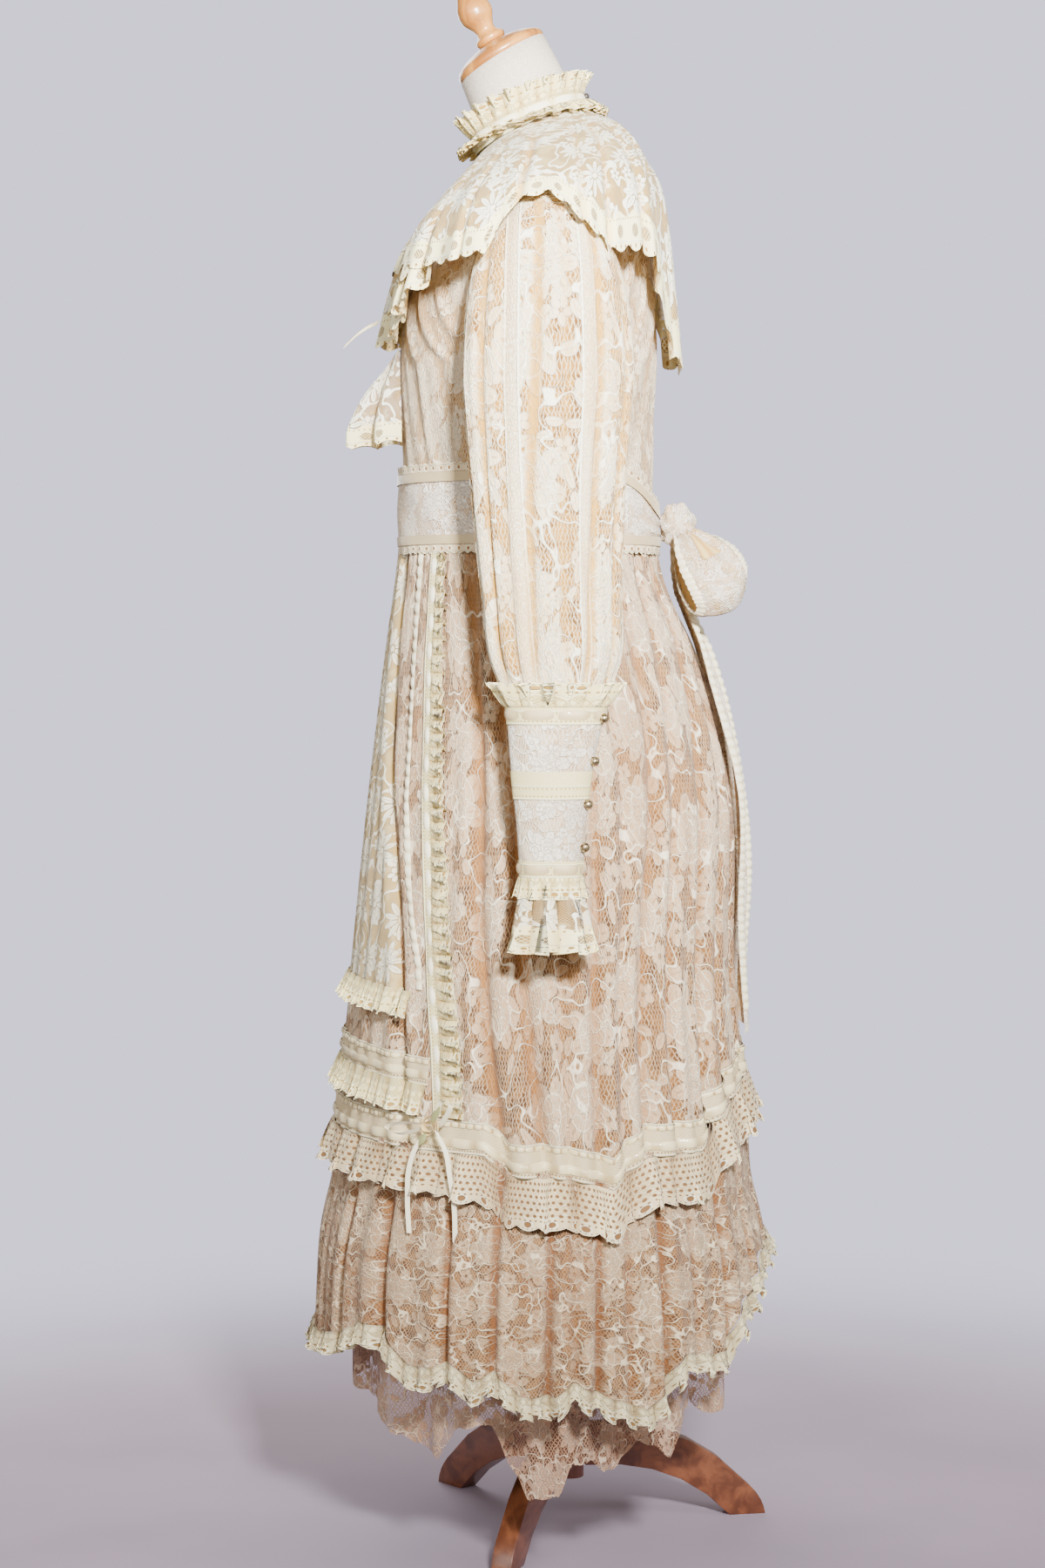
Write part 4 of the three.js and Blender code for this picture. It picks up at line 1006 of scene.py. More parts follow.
def makePanel():
    heights, tracks = skirt["trackLevels"], skirt["tracks"][1]

    def shape(u, v):
        height = trims["panelLow"] + v * (trims["top"] - trims["panelLow"])
        half = np.interp(height, heights, tracks[:6]) - 0.5
        bearing = (2 * u - 1) * half
        points, paintedShade = skirtAt(bearing, height, 1.1)
        ring = smoothRows(skirt["levels"], "height", height)
        cloth = flatSpot(bearing * perDegreeOf(ring) * 1.1, height)
        return {"points": points, "cloth": cloth, "edge": cloth + (0, 400), "paintedShade": paintedShade}

    clothPiece("frontPanel", shape, 90, 90, "panelDaisy", "daisy_lace", flat=(0.17, 0.404),
               held="stretched", rests=["skirtCloth"])
    down = trims["top"] - trims["low"]
    line = besideLine(trims["lineHeights"], trims["lineBearings"], trims["top"], trims["low"])
    ribbonLine = besideLine(trims["ribbonHeights"], trims["ribbonBearings"], trims["top"],
                            trims["ribbonLow"])

    def frillPlace(s, t, out):
        s = np.clip(s, 0, 1)
        return line(s, trims["bandWide"] / 2 - 1 + t, out)

    for side, mirror in (("Left", False), ("Right", True)):
        strip("panelBand" + side, line,
              {"length": down, "wide": trims["bandWide"], "clear": trims["clear"]},
              "beading", "cream_trim", ["panel_band_" + side.lower()], mirror=mirror,
              rests=["skirtCloth"])
        strip("panelRibbon" + side, line,
              {"length": down, "wide": 7.5, "clear": trims["clear"] - 1.2, "rise": 3, "pitch": 26,
               "pinch": 0.35, "flatness": 1.6, "shadow": 0.7},
              "satin", "satin_ribbon", mirror=mirror, rests=["panelBand" + side])
        strip("ruchedRibbon" + side, ribbonLine,
              {"length": trims["top"] - trims["ribbonLow"], "wide": 7.5, "clear": 1.4, "rise": 2.2,
               "pitch": 11.5, "pinch": 0.3},
              "satin", "satin_ribbon", mirror=mirror, rests=["skirtCloth"])
        frill("panelFrill" + side, frillPlace,
              {"length": down, "fullness": 1.7, "gathers": 36, "flatWidth": 24, "depth": 5.4,
               "width": lambda u: trims["frillTop"] + (trims["frillLow"] - trims["frillTop"]) * u ** 0.8,
               "clear": 2.6, "flare": 3, "lean": 5, "unevenness": 2.8, "scallop": 13,
               "scallopDepth": 2.6, "shadow": 0.85, "opening": 0.6},
              "creamTrim", "cream_trim", ["panel_frill_" + side.lower()], mirror=mirror,
              rests=["skirtCloth"])


def acrossSkirt(half, level):
    # a strip that runs across the skirt from one side to the other; t goes down
    def place(s, t, out):
        bearing = (2 * np.asarray(s) - 1) * half
        return onSkirt(bearing, level(bearing) - t, out)
    return place


tiers = {
    # how far each goes round to a side in degrees, its level at the front, its length and depth
    "frills": (("tierFrill1", 50, 543, 360, 24), ("tierFrill2", 57, 463, 440, 27)),
    "bandHalf": 57.5, "bandLevel": 487, "bandLength": 440, "bandWide": 25,
    "girth": 1440, "tapeRise": 29, "tapeWide": 29,
    # the ribbons in a tape: how far down, their width, the length of a pucker and its height
    "bandRibbons": (("tierRuched2", 4, 4.5, 9, 1.4), ("tierThread2", 16, 7.5, 27, 1.8)),
    "tapeRibbons": (("tierRuched3", 4, 4.5, 9, 1.4), ("tierThread3", 20, 8.5, 28, 1.8)),
}


def sagging(level):
    # the line of a trim that dips a little towards the sides
    return lambda bearing: level - 6 * np.abs(bearing / 60) ** 2


def tierRibbons(ribbons, level, length, clear, tape, closed=False):
    for name, at, wide, pitch, rise in ribbons:
        strip(name, lambda s, t, out, at=at: level(s, at - t, out),
              {"length": length, "wide": wide, "clear": clear, "rise": rise, "pitch": pitch, "pinch": 0.2,
               "flatness": 0.35, "shadow": 1},
              "bandSatin", "satin_ribbon", closed=closed, rests=[tape])


def makeTiers():
    for name, half, level, length, width in tiers["frills"]:
        frill(name, acrossSkirt(half, sagging(level)),
              {"length": length, "fullness": 1.7, "gathers": 27, "width": width,
               "depth": 4, "clear": 3, "flare": 7, "lean": 3.2, "unevenness": 1.8, "scallop": 13,
               "scallopDepth": 3, "shadow": 0.6},
              "creamTrim", "cream_trim", ["tier_frill_" + name[-1]], rests=["skirtCloth"])
    bandTop = acrossSkirt(tiers["bandHalf"], sagging(tiers["bandLevel"]))
    strip("tierBand2", lambda s, t, out: bandTop(s, tiers["bandWide"] / 2 - t, out),
          {"length": tiers["bandLength"], "wide": tiers["bandWide"], "clear": 2},
          "tierBeading2", "cream_trim", ["tier_band_2"], rests=["skirtCloth"])
    tierRibbons(tiers["bandRibbons"], bandTop, tiers["bandLength"], 2.4, "tierBand2")
    tapeTop = acrossSkirt(180, lambda bearing: seamHeight(bearing) + tiers["tapeRise"])
    strip("tierBand3", lambda s, t, out: tapeTop(s, tiers["tapeWide"] / 2 - t, out),
          {"length": tiers["girth"], "wide": tiers["tapeWide"], "clear": 2.2},
          "tierBeading3", "cream_trim", ["tier_band_3"], closed=True, rests=["skirtCloth"])
    tierRibbons(tiers["tapeRibbons"], tapeTop, tiers["girth"], 2.6, "tierBand3", closed=True)

    def ruffleAt(s, t, out):
        bearing = (2 * np.asarray(s) - 1) * 180
        return flounceAt(bearing, seamHeight(bearing) - t, out)[0]

    frill("tierRuffle3", ruffleAt,
          {"length": tiers["girth"], "fullness": 1.5, "gathers": 27, "flatWidth": 42, "depth": 8.5,
           "width": lambda u: np.interp(around((2 * u - 1) * 180), (0, 60, 80, 180), (36, 38, 45, 45)),
           "clear": 2.6, "flare": 8, "lean": 9, "unevenness": 3.6, "scallop": 15, "scallopDepth": 4,
           "shadow": 0.75, "rows": 12, "opening": 0.5},
          "ruffleLace", "cream_trim", ["tier_ruffle_3"], closed=True, rests=["skirtCloth"])


makePanel()
makeTiers()
print("the skirt is trimmed")

# ---- bodice, sash and bow ----
ringNames = ("number", "zFront", "zSide", "zBack", "yFront", "yBack", "halfWidth")
bodice = {
    "rings": columns(ringNames, [
        (0, 985, 985, 985, -160, 79, 137), (1, 1050, 1050, 1050, -161, 79, 144),
        (2, 1120, 1120, 1120, -162, 81, 157), (3, 1165, 1168, 1170, -158, 80, 166),
        (4, 1200, 1218, 1220, -148, 78, 172), (5, 1234, 1262, 1266, -134, 74, 174),
        (6, 1272, 1300, 1316, -108, 58, 128), (7, 1300, 1326, 1346, -90, 30, 82),
        (8, 1320, 1344, 1364, -88, 12, 55)]),
    "armhole": (2, 5), "openFront": 26, "openBack": 34, "clothPerDegree": 2.9,
    "sideSeam": 89.9,
}


def bodiceAt(number, bearing, out=0.0):
    ring = smoothRows(bodice["rings"], "number", number)
    slant = np.clip((number - 4.5) / 2, 0, 0.85)
    lift = outwards(bearing) * (1 - slant)[..., None] + stacked(0, 0, slant)
    return ringPoint(ring, bearing) + scaled(lift, out)


def makeBodice():
    low, high = bodice["armhole"]
    for name, middle, opening in (("Front", 0, "openFront"), ("Back", 180, "openBack")):
        def shape(u, v, middle=middle, opening=bodice[opening]):
            number = bodice["rings"]["number"][-1] * v
            t = np.clip((number - low) / (high - low), 0, 1)
            reach = bodice["sideSeam"] - opening * np.sqrt(np.clip(1 - (2 * t - 1) ** 2, 0, 1))
            bearing = middle + (2 * u - 1) * reach
            away = np.abs(2 * u - 1)
            # soft gathers fan from the shoulders to the middle of the waist
            fan = 26 * away + 2.6 * number + 1.5 * wander(u, middle + 2)
            push = 1.5 * np.sin(fan) * np.clip(v * 3, 0, 1) + 0.8 * np.sin(1.9 * fan + 1)
            push = push * np.clip((7.2 - number) / 2, 0, 1) * np.clip(number / 0.6, 0.25, 1)
            points = bodiceAt(number, bearing, push)
            cloth = flatSpot((bearing - middle) * bodice["clothPerDegree"], points[:, 2] * 1.05)
            # painted shade where the gathers sink in
            return {"points": points, "cloth": cloth, "edge": cloth,
                    "paintedShade": np.clip(-push / 2.2, 0, 1) * 0.7}

        clothPiece("bodice" + name + "Cloth", shape, 150, 110, "bodiceLace", "main_lace",
                   ["bodice_" + name.lower()], flat=(0.5, 0.42), area=0.135, held="stretched",
                   rests=["form_torso"])


sash = {
    "levels": columns(levelNames, [
        (940, -165.4, 84.4, 146), (980, -166, 85, 145), (1020, -165.2, 83.6, 145.4)]),
    "low": 948, "wide": 66, "girth": 760, "drop": 32, "dropFrom": 130, "dropOver": 42,
    # the level of each trim, whether it is drawn down with the top edge, and which way it points
    "ribbons": (("High", 1010, 1), ("Low", 952, 0)),
    "edges": (("High", 1013, 1, 1), ("Low", 949, 0, -1)),
}


def sashAt(bearing, height, out=0.0):
    ring = smoothRows(sash["levels"], "height", height)
    crease = 0.7 * np.sin(math.tau * 9 * np.asarray(bearing) / 360 + height / 11)
    return ringPoint(ring, bearing, height) + scaled(outwards(bearing), out + crease)


def sashDrop(bearing):
    # the sash's top edge is drawn down towards the knot
    t = np.clip((around(bearing) - sash["dropFrom"]) / sash["dropOver"], 0, 1)
    return sash["drop"] * t * t * (3 - 2 * t)


def sashLine(level, drawn, way=1):
    # a line round the sash; t goes up, or down where way is -1
    def place(s, t, out):
        return sashAt(360 * s, level + way * t - drawn * sashDrop(360 * s), out)
    return place


def makeSash():
    def shape(u, v):
        bearing = 360 * u
        drop = sashDrop(bearing)
        height = sash["low"] + (sash["wide"] - drop) * v
        cloth = flatSpot(u * sash["girth"], sash["low"] + sash["wide"] * v)
        pleat = np.sin(v * 19 + 1) * drop / sash["drop"]
        # painted shade in the pleats where the top edge is drawn down
        return {"points": sashAt(bearing, height, 1.4 * pleat), "cloth": cloth, "edge": cloth,
                "paintedShade": np.clip(-pleat, 0, 1) * 0.7}

    clothPiece("sashCloth", shape, 240, 16, "sashLace", "sash_lace", ["sash"], closed=True,
               flat=(0.76, 0.066), held="stretched", rests=["bodiceFrontCloth", "skirtCloth"])
    for name, level, drawn in sash["ribbons"]:
        strip("sashRibbon" + name, sashLine(level, drawn),
              {"length": sash["girth"], "wide": 8.5, "clear": 1.6, "step": 4}, "tanSatin",
              "satin_ribbon", closed=True, rests=["sashCloth"])
    for name, level, drawn, way in sash["edges"]:
        frill("sashEdge" + name, sashLine(level, drawn, way),
              {"length": sash["girth"], "fullness": 1.1, "gathers": 40, "width": 10, "depth": 0.5,
               "clear": 0.5, "flare": 0.6, "lean": 0.4, "unevenness": 1, "scallop": 8,
               "scallopDepth": 2.2, "shadow": 0.3, "rows": 3},
              "tierTrim", "cream_trim", closed=True, rests=["sashCloth"])


bow = {
    "knot": (0, 102.7, 968), "knotHalf": (22, 17, 21), "reach": 98, "open": 20,
    "outward": (0.62, 0.42, -0.66), "across": (-0.3, 0.84, 0.3), "start": (15.4, 106.7, 962),
    "loopLength": 230, "loopWide": 66, "tailWide": 52, "ribbonWide": 7,
    "halfWidths": (12, 24, 31, 33, 33, 31, 33, 33, 31, 24, 12),
    "tail": columns(("height", "from", "to", "out"), [
        (505, 34, 62, 8), (590, 30, 66, 10), (680, 26, 66, 11), (760, 20, 60, 11),
        (840, 14, 54, 12), (905, 8, 44, 14), (947, 1, 20, 20.4)]),
}


def loopAt(t, across, out=0.0):
    # t runs from the knot, out, round and back; across from -1 to 1 over the ribbon's width
    outward = np.array(bow["outward"]) / np.linalg.norm(bow["outward"])
    side = np.array(bow["across"]) - outward * np.dot(bow["across"], outward)
    side = side / np.linalg.norm(side)
    through = np.cross(outward, side)
    half = np.interp(t, np.linspace(0, 1, 11), bow["halfWidths"])
    near = np.abs(2 * t - 1) ** 3
    pleat = near * 3.2 * np.sin(11 * across) + (1 - near) * 2.6 * np.sin(3.5 * across + 5 * t)
    puff = (1 - 0.45 * across ** 2) * np.abs(np.sin(2 * math.pi * t)) ** 0.7 * np.sign(0.5 - t)
    thick = -3 + 6 * t - bow["open"] * puff
    # the lining side faces into the loop
    inward = np.where(t < 0.5, 1.0, -1.0) * np.abs(np.sin(2 * math.pi * t)) ** 0.5
    turn = np.sin(math.pi * t)
    # the far end is rounded, and its outer edge sags
    reach = (bow["reach"] - out * 0.8) * (1 - 0.2 * across ** 2 - 0.12 * across)
    point = np.array(bow["start"]) + outward * (6 + reach * turn)[..., None]
    point = point + through * (thick + pleat + inward * out)[..., None]
    sag = stacked(0, 0, -7 * turn * (across + 1) / 2)
    return point + side * (half * across)[..., None] + sag


def tailAt(across, height, out=0.0):
    row = smoothRows(bow["tail"], "height", height)
    x = row["from"] + (row["to"] - row["from"]) * across
    ring = smoothRows(skirt["levels"], "height", height)
    middle = (ring["yFront"] + ring["yBack"]) / 2
    y = middle + (ring["yBack"] - middle) * np.sqrt(1 - (x / ring["halfWidth"]) ** 2)
    fold = 4.5 * np.cos(math.tau * across * 1.15 + 0.6) + 1.6 * np.sin(height / 31 + 4 * across)
    crush = np.clip((height - 850) / 97, 0, 1)
    fold = fold * (1 - crush) + crush * 1.6 * np.sin(16 * across)
    return stacked(x, y + row["out"] + 2 + fold + out, height)


def makeBow():
    half = bow["knotHalf"]

    def knotShape(u, v):
        turn, x = math.tau * u, 2 * v - 1
        swell = np.sqrt(np.clip(1 - x ** 2, 0, 1)) * (
            1 + 0.09 * np.sin(7 * turn + 4 * x) + 0.05 * np.cos(9 * x + 3 * np.sin(turn)))
        points = np.array(bow["knot"]) + stacked(
            x * half[0], np.cos(turn) * half[1] * swell, np.sin(turn) * half[2] * swell)
        # painted shade in the knot's creases
        return {"points": points, "edge": flatSpot(u * 110, v * 60),
                "paintedShade": 0.4 * (0.5 - 0.5 * np.sin(9 * turn + 3 * x))}

    clothPiece("bowKnotCloth", knotShape, 64, 28, "sashLace", "sash_lace", ["bow_knot"], closed=True,
               mirror=True, flat=(0.12, 0.05), area=0.003, held="folded", rests=["sashCloth"])
    bottom = bow["tail"]["height"][0]
    tall = bow["tail"]["height"][-1] - bottom
    for side, mirror in (("Left", False), ("Right", True)):
        low = side.lower()

        def loopShape(u, v, out=0.0):
            cloth = flatSpot(v * bow["loopLength"], u * bow["loopWide"])
            across, near = 2 * u - 1, np.abs(2 * v - 1) ** 3
            # painted shade in the pleats by the knot and in the creases along the loop
            paintedShade = near * (0.5 + 0.5 * np.sin(11 * across)) + (1 - near) * np.clip(
                np.sin(5.5 * across + 8 * v), 0, 1) ** 2 * 0.6
            return {"points": loopAt(v, across, out), "cloth": cloth, "edge": cloth, "paintedShade": paintedShade}

        def foldShape(u, v):
            # the gold lining shows where the loop is gathered into the knot
            t, half = 0.965 - 0.135 * v, 0.12 + 0.3 * v
            # with painted shade in the lining's folds
            return {"points": loopAt(t, (2 * u - 1) * half + 0.1, -1.2),
                    "edge": flatSpot(u * 20, v * 40), "paintedShade": 0.5 + 0.5 * np.cos(math.tau * 2 * u)}

        clothPiece("bowLoopCloth" + side, loopShape, 30, 70, "sashLace", "sash_lace",
                   ["bow_loop_" + low], mirror=mirror, flat=(0.066, 0.23), held="folded",
                   rests=["bowKnotCloth"])
        clothPiece("bowLoopLining" + side, lambda u, v: loopShape(0.03 + 0.94 * u, v, 1.3), 24, 60,
                   "goldSatin", "satin_ribbon", mirror=mirror, flat=(0.062, 0.22), held="folded",
                   rests=["bowLoopCloth" + side])
        clothPiece("bowFold" + side, foldShape, 14, 20, "goldSatin", "satin_ribbon", mirror=mirror,
                   flat=(0.022, 0.042), area=0.0007, held="folded", rests=["bowLoopCloth" + side])
        for edge, at in (("Near", -0.95), ("Far", 0.95)):
            strip("bowLoopRibbon" + edge + side,
                  lambda s, t, out, at=at: loopAt(s, at + t / 31, -out),
                  {"length": bow["loopLength"], "wide": bow["ribbonWide"], "clear": 0.4, "rise": 1.6,
                   "pitch": 9, "pinch": 0.25},
                  "satin", "satin_ribbon", mirror=mirror, rests=["bowLoopCloth" + side])

        def tailShape(u, v):
            height = bottom + v * tall - 20 * (1 - v) ** 8 * u
            cloth = flatSpot(u * bow["tailWide"], height)
            # painted shade in the tail's folds
            paintedShade = np.clip(-np.cos(math.tau * u * 1.15 + 0.6), 0, 1) * 0.6
            return {"points": tailAt(u, height), "cloth": cloth, "edge": cloth, "paintedShade": paintedShade}

        clothPiece("bowTailCloth" + side, tailShape, 22, 110, "sashLace", "sash_lace",
                   ["bow_tail_" + low], mirror=mirror, flat=(0.05, 0.46), area=0.018, held="hung",
                   rests=["bowKnotCloth"])
        for edge, at in (("Near", 0.06), ("Far", 0.94)):
            strip("bowTailRibbon" + edge + side,
                  lambda s, t, out, at=at: tailAt(at + t / 42, bottom + 2 + tall * 0.98 * s, out),
                  {"length": tall, "wide": bow["ribbonWide"], "clear": 0.6, "rise": 2, "pitch": 8.5,
                   "pinch": 0.3},
                  "satin", "satin_ribbon", mirror=mirror, rests=["bowTailCloth" + side])


makeBodice()
makeSash()
makeBow()
print("bodice, sash and bow are in place")

# ---- sleeves and cuffs ----
tubeNames = ("height", "x", "y", "halfX", "halfY")
sleeve = {
    "rows": columns(tubeNames, [
        (812.5, 243, -16, 26.2, 47.2), (822, 241.5, -16.5, 28, 51), (840, 238, -17, 30, 57),
        (900, 224, -20, 31, 62), (995, 208, -23, 30, 69), (1090, 197, -23, 28, 77)]),
    "shoulderFrom": 0.56, "top": 1090, "low": 812.5,
    "perDegree": 0.95, "clothPerDegree": 1.12, "clothLength": 520, "stripBearing": 64,
    "trackLevels": (0, 0.3, 0.6, 1), "deepest": 5,
    "tracks": [
        (30, 34, 36, 44, 5, 3, 4.2), (70, 74, 82, 88, 5.5, 3, 4.6), (98, 100, 104, 100, 2.5, 2, 4),
        (122, 127, 129, 124, 5, 3, 4.6), (152, 155, 158, 150, 4, 2, 4.2), (8, 8, 4, 10, 4, 2, 4.5),
        (52, 55, 58, 62, 2.2, 1.5, 3.6), (186, 184, 182, 180, 4, 2, 5), (222, 220, 218, 215, 5, 3, 5),
        (258, 260, 258, 255, 4, 2, 5), (296, 297, 300, 300, 5, 3, 5), (335, 335, 332, 330, 4, 2, 5)],
}


def tubeAt(row, bearing, swell, height):
    turn = np.radians(bearing)
    return stacked(row["x"] + (row["halfX"] + swell * 0.6) * np.sin(turn),
                   row["y"] - (row["halfY"] + swell) * np.cos(turn), height)


def armholeAt(bearing):
    # bearing 90 is the armhole's top and 270 the underarm
    towards = np.cos(np.radians(bearing))
    opening = np.where(towards > 0, bodice["openFront"], bodice["openBack"])
    low, high = bodice["armhole"]
    number = low + (high - low) * (np.sin(np.radians(bearing)) + 1) / 2
    return bodiceAt(number, 90 - opening * towards, 1.2)


def sleeveAt(bearing, v):
    split = sleeve["shoulderFrom"]
    push, paintedShade = troughs(bearing, v, sleeve, sleeve["perDegree"])
    ease = np.clip(v / 0.05, 0, 1) * np.clip((1 - v) / 0.12, 0.15, 1)
    gather = np.exp(-v / 0.05) * 1.2 * np.sin(math.tau * 26 * bearing / 360)
    push = push * ease + gather + 0.5 * np.sin(math.tau * 17 * bearing / 360 + 9 * v)
    height = sleeve["low"] + (sleeve["top"] - sleeve["low"]) * np.clip(v / split, 0, 1)
    hanging = tubeAt(smoothRows(sleeve["rows"], "height", height), bearing, push, height)
    top = smoothRows(sleeve["rows"], "height", np.full_like(height, sleeve["top"]))
    below = tubeAt(top, bearing, push, sleeve["top"])
    head = armholeAt(bearing)
    bend = stacked(head[:, 0] * 0.18 + below[:, 0] * 0.82, head[:, 1] * 0.1 + below[:, 1] * 0.9,
                   head[:, 2])
    t = np.clip((v - split) / (1 - split), 0, 1)[:, None]
    rounded = below * (1 - t) ** 2 + bend * 2 * t * (1 - t) + head * t ** 2
    return np.where(t > 0, rounded, hanging), paintedShade * ease


cuff = {
    "rows": columns(tubeNames, [
        (575, 272, -21, 15, 19), (644, 259, -21, 20, 27), (731, 252, -20.5, 23, 34.5),
        (812, 243, -16, 26, 47), (830, 241, -16, 27, 50)]),
    "low": 644, "tall": 168, "girth": 220, "frillLevel": 800, "wristLevel": 650, "ruffleLevel": 643.5,
    # each tape's level, width and length, and the length of the ribbon in it
    "tapes": (("High", 793, 17, 220, 208), ("Middle", 731, 25, 180, 0), ("Low", 657, 15, 180, 156)),
    "buttonHeights": (790, 752, 714, 676), "buttonBearing": 158, "buttonRadius": 4.5,
}


def cuffAt(bearing, height, out=0.0):
    row = smoothRows(cuff["rows"], "height", height)
    crease = 0.5 * np.sin(math.tau * 5 * np.asarray(bearing) / 360 + np.asarray(height) / 23)
    return tubeAt(row, bearing, out + crease, height)


def cuffLine(level, way=1):
    # a line round the cuff from its inner side; t goes up, or down where way is -1
    def place(s, t, out):
        return cuffAt(360 * s - 90, level + way * t, out)
    return place


def makeSleeves():
    for side, mirror in (("Left", False), ("Right", True)):
        low = side.lower()

        def shape(u, v):
            bearing = 360 * u - 90
            points, paintedShade = sleeveAt(bearing, v)
            cloth = flatSpot((bearing - sleeve["stripBearing"]) * sleeve["clothPerDegree"],
                             v * sleeve["clothLength"])
            return {"points": points, "cloth": cloth, "edge": cloth, "paintedShade": paintedShade}

        clothPiece("sleeveCloth" + side, shape, 260, 130, "sleeveLace", "main_lace",
                   ["sleeve_" + low], closed=True, mirror=mirror, flat=(0.4, 0.5), area=0.17,
                   held="gathered", rests=["bodiceFrontCloth"])

        def cuffShape(u, v):
            bearing, height = 360 * u - 90, cuff["low"] + cuff["tall"] * v
            cloth = flatSpot(u * cuff["girth"], height)
            return {"points": cuffAt(bearing, height), "cloth": cloth, "edge": cloth}

        clothPiece("cuffCloth" + side, cuffShape, 120, 70, "cuffLace", "main_lace", ["cuff_" + low],
                   closed=True, mirror=mirror, flat=(0.22, 0.168), held="stretched",
                   rests=["sleeveCloth" + side])
        for name, level, wide, length, ribbon in cuff["tapes"]:
            strip("cuffTape" + name + side, cuffLine(level),
                  {"length": length, "wide": wide, "clear": 0.8, "step": 2},
                  "beading", "cream_trim", closed=True, mirror=mirror, rests=["cuffCloth" + side])
            if ribbon:
                strip("cuffRibbon" + name + side, cuffLine(level),
                      {"length": ribbon, "wide": 9, "clear": 0.3, "rise": 2.4, "pitch": 26, "pinch": 0.2,
                       "flatness": 0.5},
                      "tanSatin", "satin_ribbon", closed=True, mirror=mirror,
                      rests=["cuffTape" + name + side])
        frill("cuffFrill" + side, cuffLine(cuff["frillLevel"]),
              {"length": 225, "fullness": 1.9, "gathers": 13, "width": 22, "depth": 6,
               "clear": 1.5, "flare": 8, "lean": 6, "unevenness": 2.6, "scallop": 13, "scallopDepth": 3.5,
               "opening": 0.5, "rows": 10},
              "creamTrim", "cream_trim", ["cuff_frill_" + low], closed=True, mirror=not mirror,
              rests=["cuffCloth" + side])
        frill("wristFrill" + side, cuffLine(cuff["wristLevel"], -1),
              {"length": 155, "fullness": 1.7, "gathers": 13, "width": 19, "depth": 3,
               "clear": 1.2, "flare": 5, "lean": 3, "unevenness": 1.6, "scallop": 12,
               "scallopDepth": 2.5},
              "creamTrim", "cream_trim", closed=True, mirror=mirror, rests=["cuffCloth" + side])
        frill("handRuffle" + side, cuffLine(cuff["ruffleLevel"], -1),
              {"length": 150, "fullness": 2.1, "gathers": 7, "width": 60, "depth": 7,
               "clear": 0.3, "flare": 17, "lean": 6, "unevenness": 1.2, "scallop": daisy["scallop"],
               "scallopDepth": daisy["scallopDepth"], "rows": 18, "opening": 0.7},
              "sheerDaisy", "daisy_lace", ["hand_ruffle_" + low], closed=True, mirror=mirror,
              rests=["cuffCloth" + side])


makeSleeves()
print("sleeves are in place")

# ---- collar ----
collar = {
    "band": columns(ringNames, [
        (0, 1320.6, 1344.6, 1364.6, -90.5, 14.5, 57.5), (1, 1338, 1361, 1381, -95.5, 11.5, 55)]),
    "upper": columns(ringNames, [
        (0, 1336, 1359, 1379, -95, 11, 54.5), (0.4, 1342, 1367, 1387, -100, 12, 55.5),
        (1, 1353, 1380, 1399, -108, 16, 61)]),
    "lower": columns(ringNames, [
        (0, 1324.5, 1348.5, 1368.5, -91.5, 15.5, 58.5), (0.4, 1322, 1347.5, 1366, -97, 22, 63),
        (1, 1316, 1342, 1356, -107, 34, 73)]),
    "girth": 275, "bandWide": 17,
}


def ringFrill(name, table, look, finish, slot, stands=(), rests=()):
    # a frill whose fall follows a table of rings
    flatWidth = look.get("flatWidth", look["width"])

    def place(s, t, out):
        ring = smoothRows(table, "number", np.clip(t / flatWidth, 0, 1.0))
        bearing = 360 * s - 180
        over = np.maximum(t / flatWidth - 1, 0)
        upward = look.get("upward", 0)
        return (ringPoint(ring, bearing) + scaled(outwards(bearing), out * (1 - upward))
                + stacked(0, 0, over + out * upward))

    return frill(name, place, look, finish, slot, stands, closed=True, rests=rests)


def bandAt(s, t, out):
    ring = smoothRows(collar["band"], "number", 0.5 + t / collar["bandWide"])
    bearing = 360 * s - 180
    return ringPoint(ring, bearing) + scaled(outwards(bearing), out)


def makeCollar():
    strip("collarBandCloth", bandAt,
          {"length": collar["girth"], "wide": collar["bandWide"], "clear": 0, "step": 2},
          "wideBeading", "cream_trim", ["collar_band"], closed=True, rests=["form_torso"])
    strip("collarRibbon", bandAt,
          {"length": collar["girth"], "wide": 11.5, "clear": -0.5, "rise": 2.6, "pitch": 25,
           "pinch": 0.15, "flatness": 0.5, "shadow": 0.7},
          "satin", "satin_ribbon", closed=True, rests=["collarBandCloth"])
    ringFrill("collarFrillUpper", collar["upper"],
              {"length": collar["girth"], "fullness": 2.1, "gathers": 24, "width": 23,
               "depth": 4.4, "clear": 1, "flare": 1, "lean": 4, "unevenness": 1.5, "scallop": 12,
               "scallopDepth": 3, "shadow": 0.9, "rows": 12},
              "creamTrim", "cream_trim", ["collar_frill_upper"], rests=["collarBandCloth"])
    ringFrill("collarFrillLower", collar["lower"],
              {"length": collar["girth"] + 20, "fullness": 2, "gathers": 26, "width": 25,
               "flatWidth": 22, "depth": 5.2, "clear": 4.8, "flare": 1, "lean": 5, "unevenness": 2.6,
               "scallop": 12, "scallopDepth": 3, "shadow": 0.9, "rows": 12, "opening": 0.6,
               "upward": 0.75},
              "creamTrim", "cream_trim", ["collar_frill_lower"], rests=["capeCloth"])


